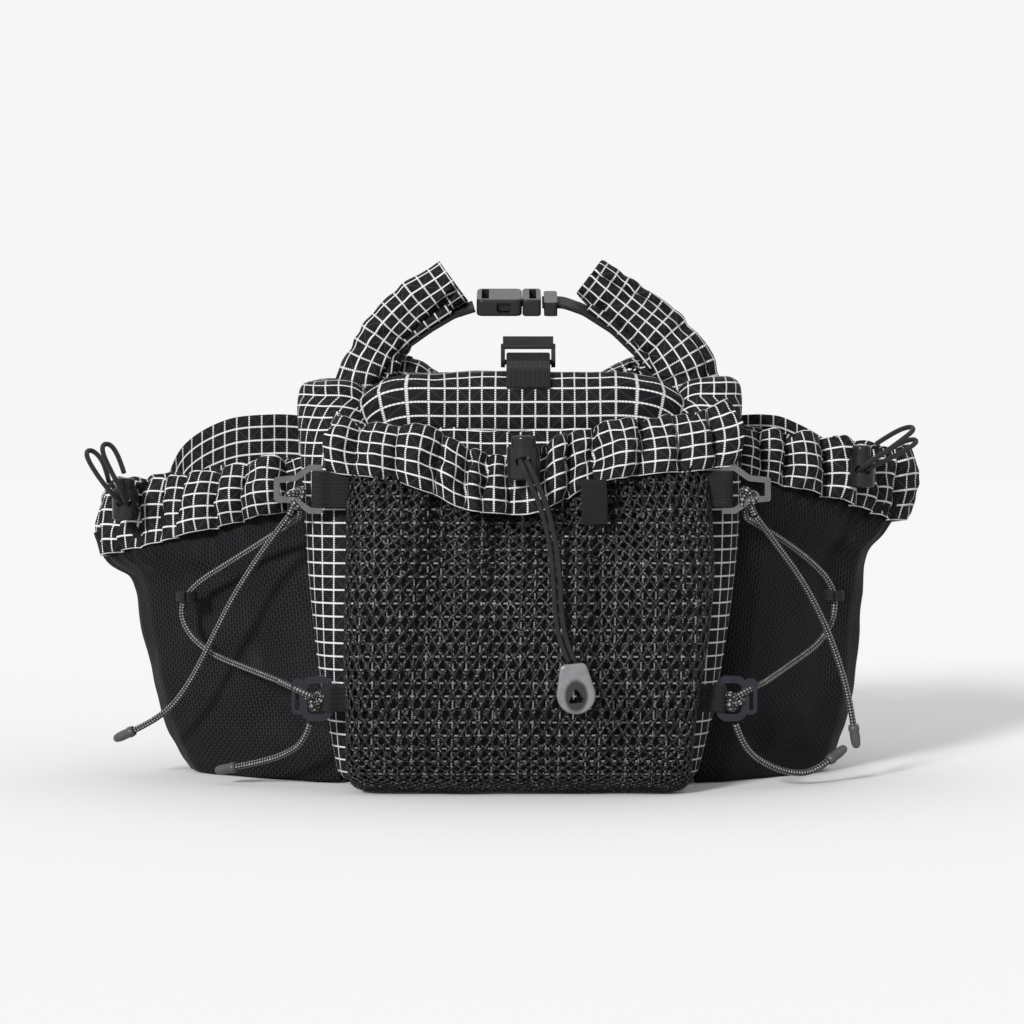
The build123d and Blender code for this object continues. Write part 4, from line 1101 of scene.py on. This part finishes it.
def side_pocket(side, label, levels, seam, rim, seed):
    """One side's mesh pocket and the gathered cuff on it. levels are (height, inner, outer),
    and seam and rim are heights at the inner and the outer edge."""
    rows, cols = 110, 240
    levels = through(levels, 60)
    heights, inners, outers = levels.T
    span = (inners[-1], outers[-1])
    brim = pocket_row(side, *span, cols)
    share = np.clip((np.abs(brim[:, 0]) - span[0]) / (span[1] - span[0]), 0, 1)
    seam_z = seam[0] + (seam[1] - seam[0]) * share
    rim_z = rim[0] + (rim[1] - rim[0]) * share

    def wall(height_of):
        """The outline at a height that differs from column to column."""
        out = np.empty((cols, 3))
        for column, height in enumerate(height_of):
            near = outlines[int(np.clip(round(height / OUTLINE_STEP), 0, len(outlines) - 1))]
            out[column] = (*near[column], height)
        return out

    outlines = [pocket_row(side, np.interp(z, heights, inners), np.interp(z, heights, outers), cols)
                for z in range(0, 100 * OUTLINE_STEP, OUTLINE_STEP)]
    foot = heights[0]
    grid = np.array([wall(foot + (seam_z + MESH_ABOVE_SEAM - foot) * t) for t in np.linspace(0, 1, rows)])
    grid = np.array([soften(column, 4) for column in grid.transpose(1, 0, 2)]).transpose(1, 0, 2)
    # the foot turns under, and long soft folds hang from the cuff
    up = np.linspace(0, 1, rows)[:, None]
    centre = np.array((side * (inners[0] + outers[0]) / 2, 12.0))
    tuck = np.clip(1 - grid[..., 2] / 9, 0, 1) ** 2 * 0.05
    grid[..., :2] += (centre - grid[..., :2]) * tuck[..., None]
    reach = distances(grid, 1).mean(axis=0)
    chance = random.Random(seed)
    depth = np.zeros((rows, cols))
    for _ in range(9):
        where = chance.uniform(4, reach[-1] - 4)
        width, lean = chance.uniform(6, 13), chance.uniform(-26, 26)
        fold = hump(reach[None, :], where + lean * up, width)
        depth += fold * chance.uniform(-4.6, 3.2) * np.clip(up * 1.3, 0, 1)
    depth += 1.5 * np.clip((up - 0.82) / 0.18, 0, 1) * np.sin(reach[None, :] * 2 * math.pi / 8.2)
    inner_fade = np.clip(reach / 10, 0, 1)[None, :]
    grid = grid + side * facing(grid) * (depth * inner_fade)[..., None]
    grid = rumple(grid, 1.3, 17.0, seed)
    faces = grid_faces(rows, cols)
    if side < 0:
        faces = [face[::-1] for face in faces]
    # a flat floor closes the pocket
    faces.append(tuple(range(cols))[::-side])
    grid[..., 2] = np.maximum(grid[..., 2], 0.6)
    pocket = make_object(f"mesh_pocket_{label}", grid.reshape(-1, 3), faces, POCKET_MESH,
                         cloth_measure(grid, 0))
    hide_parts(f"side_pocket_{label}")

    outward = brim - np.array((side * 112.0, 40.0))
    outward /= np.linalg.norm(outward, axis=1, keepdims=True)
    low = np.column_stack((brim, seam_z))
    low[:, :2] = [outlines[round(z / OUTLINE_STEP)][c] + outward[c] * 1.4 for c, z in enumerate(seam_z)]
    high = np.column_stack((brim - outward * 1.5, rim_z))
    out = np.column_stack((outward, np.full(cols, 0.1)))
    if side < 0:
        low, high, out = low[::-1], high[::-1], out[::-1]
    total = np.linalg.norm(np.diff((low + high) / 2, axis=0), axis=1).sum()
    cuff, cuff_grid = gathered_band(f"cuff_{label}", low, high, out,
                                    valley_places(total, 16.5, seed + 40), 8.5, seed=seed + 7, hem=12.0)
    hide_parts(f"side_cuff_{label}")


LEFT_LEVELS = ((0.8, 84.0, 166.0), (12.0, 87.5, 171.0), (30.0, 90.5, 177.5), (60.0, 94.5, 184.0),
               (96.0, 98.0, 190.0), (108.0, 99.5, 204.0), (135.0, 101.0, 208.0), (160.0, 102.5, 203.0))
RIGHT_LEVELS = ((0.8, 84.5, 155.0), (12.0, 88.0, 160.5), (45.0, 94.5, 168.0), (104.0, 103.0, 173.5),
                (118.0, 104.5, 183.0), (145.0, 106.0, 195.0), (175.0, 107.0, 191.0))
side_pocket(LEFT, "left", LEFT_LEVELS, (133.0, 106.0), (157.0, 143.0), 31)
side_pocket(RIGHT, "right", RIGHT_LEVELS, (149.0, 123.0), (172.0, 161.0), 47)

# the gridstop walls behind the side pockets, which rise above their cuffs
WALL_INNER, WALL_FOOT, WALL_COLS = 104, 62, 90
for side, label, outer in ((LEFT, "left", 182.0), (RIGHT, "right", 172.0)):
    top_line = through(((WALL_INNER, 176), (124, 177), (outer - 34, 174), (outer - 13, 161),
                        (outer - 2, 138)), WALL_COLS)
    wall_rows = []
    for t in np.linspace(0, 1, 60):
        z = WALL_FOOT + (top_line[:, 1] - WALL_FOOT) * t
        bow = 2.2 * np.sin(np.linspace(0, math.pi, WALL_COLS)) * t
        narrow = WALL_INNER + (top_line[:, 0] - WALL_INNER) * (0.66 + 0.34 * t)
        wall_rows.append(np.column_stack((side * narrow, 55.6 - bow, z)))
    wall = rumple(np.array(wall_rows), 1.6, 24.0, 60 + side)
    wall[..., 1] = np.minimum(wall[..., 1], 56.4)
    back_wall = make_object(f"back_wall_{label}", wall.reshape(-1, 3), grid_faces(*wall.shape[:2]), GRIDSTOP,
                            cloth_measure(wall, 0))
    thicken(back_wall, 0.9, 0.0)
    if side == LEFT:
        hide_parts("side_backs")

# =====================================================================================
# Webbing: roll straps, the strap over the roll, hook tabs, guides, base straps
# =====================================================================================

ROLL_ACROSS = (0, math.cos(math.radians(15)), math.sin(math.radians(15)))
strap("roll_webbing_left",
      ((-63, 1, 203), (-54, 1, 212), (-42, 1, 220.5), (-31, 1, 227.0), (-21.4, 1, 230.0)),
      19, 2.2, ROLL_ACROSS, ("roll_strap_left",))
strap("roll_webbing_right",
      ((11.9, 1, 232), (22, 1, 232), (32, 1, 228.5), (46, 1, 219.5), (60, 1, 206)),
      19, 2.2, ROLL_ACROSS, ("roll_strap_right",), body="roll_plug")
# a second strip of the gridstop under each end
lining_left = strap(
    "roll_lining_left",
    ((-63, 2, 197), (-62, 2, 206), (-53.8, 2, 214.3), (-43.4, 2, 221.8), (-33, 2, 228.6)),
    25, 5.5, (0, 1, 0))
lining_right = strap(
    "roll_lining_right", ((35.4, 2, 230.2), (46.6, 2, 221.2), (57.6, 2, 210.8), (65.8, 2, 200.5)),
    25, 5.5, (0, 1, 0), body=None)
for lining in (lining_left, lining_right):
    lining.data.materials[0] = GRIDSTOP
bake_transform(lining_right)
TOP_STRAP_X = 5.0
TOP_STRAP_SIDE = ((-47.5, 190), (-43.5, 198.5), (-32, 202.0), (-24, 202.0), (-17.5, 206.5), (-10.5, 206.5),
                  (-5, 200.3), (8, 199.6), (16, 192))
strap("roll_top_webbing", [(TOP_STRAP_X, y, z) for y, z in TOP_STRAP_SIDE], 21, 1.6, (1, 0, 0),
      ("top_strap",), count=90, rounding=5)

# side, x and y of the hook's bar, height, how far in the tab starts, width

TAB_BARS = {
    "upper_left": (LEFT, 93.0, -65.0, 142.5, 79.0, 17.4),
    "upper_right": (RIGHT, 97.0, -65.0, 142.5, 87.5, 17.4),
    "lower_left": (LEFT, 88.5, -63.5, 44.0, 79.0, 12.4),
    "lower_right": (RIGHT, 94.5, -63.5, 44.0, 84.0, 12.4),
}
TAB_TURN_RADIUS = 3.2
for label, (side, x, y, z, tail, width) in TAB_BARS.items():
    route = [(side * tail, y + 1.7, z), (side * (x - 4.5), y + 1.9, z)]
    for angle in range(100, -101, -20):
        turn = math.radians(angle)
        route.append((side * (x + TAB_TURN_RADIUS * math.cos(turn)), y + TAB_TURN_RADIUS * math.sin(turn), z))
    route += [(side * (x - 4.5), y - 1.9, z), (side * tail, y - 1.7, z)]
    strap(f"hook_webbing_{label}", route, width, 1.5, (0, 0, 1), count=64, rounding=3)
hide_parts("hook_tabs")

GUIDE_RADIUS = 4.7
for label, (x, y, z) in (("left", (-160.2, -17.6, 89.2)), ("right", (152.7, -21.6, 90.0))):
    route = [(x + GUIDE_RADIUS * math.cos(a), y + GUIDE_RADIUS * math.sin(a), z)
             for a in np.linspace(-1.5, 4.6, 20)]
    route.append((x - 0.5, y + 9.0, z))
    strap(f"cord_guide_{label}", route, 5.0, 1.0, (0, 0, 1), count=50, rounding=2)
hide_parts("cord_guides")

for label, x in (("left", -40.0), ("right", 40.0)):
    route = [(x, y, z) for y, z in ((-21, 1.3), (0, 0.8), (30, 0.8), (46, 1.3), (52, 5), (53.4, 16))]
    strap(f"base_webbing_{label}", route, 20, 1.3, (1, 0, 0), count=50)
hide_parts("bottom_webbing")

# =====================================================================================
# Back panel and hip belt
# =====================================================================================


def bake_modifiers(made):
    """Replaces a piece's mesh by what its modifiers make of it."""
    graph = bpy.context.evaluated_depsgraph_get()
    shaped = bpy.data.meshes.new_from_object(made.evaluated_get(graph), depsgraph=graph)
    old = made.data
    made.modifiers.clear()
    made.data = shaped
    bpy.data.meshes.remove(old)


def puffed(made, voxel, pressure, cap):
    """Swells a closed padded piece with Cloth pressure, no point moving further than cap."""
    scene = bpy.context.scene
    remesh = made.modifiers.new("voxels", "REMESH")
    remesh.mode = "VOXEL"
    remesh.voxel_size = voxel * MM
    remesh.use_smooth_shade = True
    bake_modifiers(made)
    before = np.array([tuple(vertex.co) for vertex in made.data.vertices])
    cloth = made.modifiers.new("swell", "CLOTH")
    cloth.settings.use_pressure = True
    cloth.settings.uniform_pressure_force = pressure
    cloth.settings.effector_weights.gravity = 0.0
    cloth.settings.quality = 4
    for step in range(1, 21):
        scene.frame_set(step)
    bake_modifiers(made)
    scene.frame_set(1)
    after = np.array([tuple(vertex.co) for vertex in made.data.vertices])
    moved = after - before
    size = np.linalg.norm(moved, axis=1, keepdims=True)
    moved *= np.minimum(1.0, cap * MM / np.maximum(size, 1e-9))
    made.data.vertices.foreach_set("co", (before + moved).ravel())
    subdivision = made.modifiers.new("smooth", "SUBSURF")
    subdivision.levels = subdivision.render_levels = 1
    bake_modifiers(made)
    made.data.polygons.foreach_set("use_smooth", [True] * len(made.data.polygons))


def closed_loops(name, loops):
    """A closed piece of belt cloth through loops of points, capped at both ends."""
    grid = np.array(loops)
    grid = np.concatenate((grid, grid[:, :1]), axis=1)
    rows, cols = grid.shape[:2]
    faces = grid_faces(rows, cols)
    faces += [tuple(range(cols - 2, -1, -1)), tuple(range((rows - 1) * cols, rows * cols - 1))]
    return make_object(name, grid.reshape(-1, 3), faces, BELT_CLOTH, None)


WING_ROOT_Y = 65.5
WING_STATIONS = 90
wing_line = ((46, WING_ROOT_Y), (166, WING_ROOT_Y + 2), (177, 108), (151, 156))
wing_line = soften(evenly(wing_line, WING_STATIONS), 60)
for side, label in ((LEFT, "left"), (RIGHT, "right")):
    loops = []
    for i, (x, y) in enumerate(wing_line):
        ahead = wing_line[min(i + 1, WING_STATIONS - 1)] - wing_line[max(i - 1, 0)]
        out = np.array((ahead[1], -ahead[0])) / np.linalg.norm(ahead)
        fraction = i / (WING_STATIONS - 1)
        end = math.sqrt(max(0.02, 1 - max(0.0, (fraction - 0.9) / 0.1) ** 2))
        top = 163 - 0.34 * (y - 70)
        low = 63 + 0.34 * (y - 70)
        middle, half = (top + low) / 2, (top - low) / 2 * (0.55 + 0.45 * end) - 1.0
        loop = stadium(half, 3.4 * end + 0.3, min(3.2 * end + 0.2, 3.3), 48)
        loops.append([(side * (x + out[0] * n), y + out[1] * n, middle + a) for a, n in loop])
    wing = closed_loops(f"belt_wing_{label}", loops)
    puffed(wing, 4.5, 4.0, 4.0)
    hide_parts(f"hip_wing_{label}")

pad_loop = rounded_loop(-86, 88, 11, 165, 26, 160)[:-1]
pad_rows = []
for y, inset in ((51.0, 6.0), (51.6, 2.0), (54.0, 0.5), (56.8, 2.0), (58.0, 7.0)):
    shrink = 1 - inset / 90
    pad_rows.append([(1 + (x - 1) * shrink, y, 88 + (z - 88) * shrink) for x, z in pad_loop])
back_pad = closed_loops("back_padding", pad_rows)
puffed(back_pad, 5.0, 4.0, 3.0)
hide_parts("back_pad")

mesh_rows = []
for v in np.linspace(-1, 1, 90):
    line = []
    for u in np.linspace(-1, 1, 110):
        # a rounded square whose padding is quilted into two columns
        reach = max(abs(u), abs(v))
        round_off = 1 - 0.09 * (abs(u) * abs(v)) ** 4
        channel = 2.2 * hump(u * 89, 0.0, 5.0) + 1.4 * hump(abs(u) * 89, 46.0, 4.0)
        swell = 4.6 * (1 - reach**6) - channel * (1 - reach**8)
        line.append((1 + u * 89 * round_off, 58.6 + max(0.0, swell), 88 + v * 79 * round_off))
    mesh_rows.append(line)
mesh_grid = rumple(np.array(mesh_rows), 0.5, 20.0, 77)
mesh_faces = [face[::-1] for face in grid_faces(*mesh_grid.shape[:2])]
back_mesh = make_object("back_spacer_mesh", mesh_grid.reshape(-1, 3), mesh_faces, SPACER_MESH,
                        cloth_measure(mesh_grid, 0))
thicken(back_mesh, 1.6)
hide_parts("back_mesh")
binding = [(x * 1.02, 58.8, 88 + (z - 88) * 1.02) for x, z in rounded_loop(-87, 89, 10, 166, 22, 120)]
strap("back_binding", binding, 7.0, 1.6, (0, 1, 0), count=240, rounding=2)

BELT_Z = 110.0
BELT_SOCKET_Y, BELT_PLUG_Y = 176.3, 179.3


def belt_route(side, buckle_x, buckle_y):
    """The belt's webbing at one side, from its wing's tip to the buckle."""
    outline = ((151.5, 143), (151.5, 155), (146, 162), (132, buckle_y - 1), (buckle_x, buckle_y))
    return [(side * x, y, BELT_Z) for x, y in outline]


belt_left = strap("belt_webbing_left", belt_route(LEFT, 20.5, BELT_SOCKET_Y), 20, 1.6, (0, 0, 1), count=80)
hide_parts("belt_straps")
belt_right = strap("belt_webbing_right", belt_route(RIGHT, 5, BELT_PLUG_Y), 20, 1.6, (0, 0, 1), count=80,
                   body=None)
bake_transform(belt_right)

# =====================================================================================
# Floor
# =====================================================================================

FLOOR_REACH = 6000.0
FLOOR_Z = -0.3
floor_corners = [(x * FLOOR_REACH, y * FLOOR_REACH, FLOOR_Z) for x, y in ((-1, -1), (1, -1), (1, 1), (-1, 1))]
floor = make_object("studio_floor", floor_corners, [(0, 1, 2, 3)], floor_paper(), body=None)
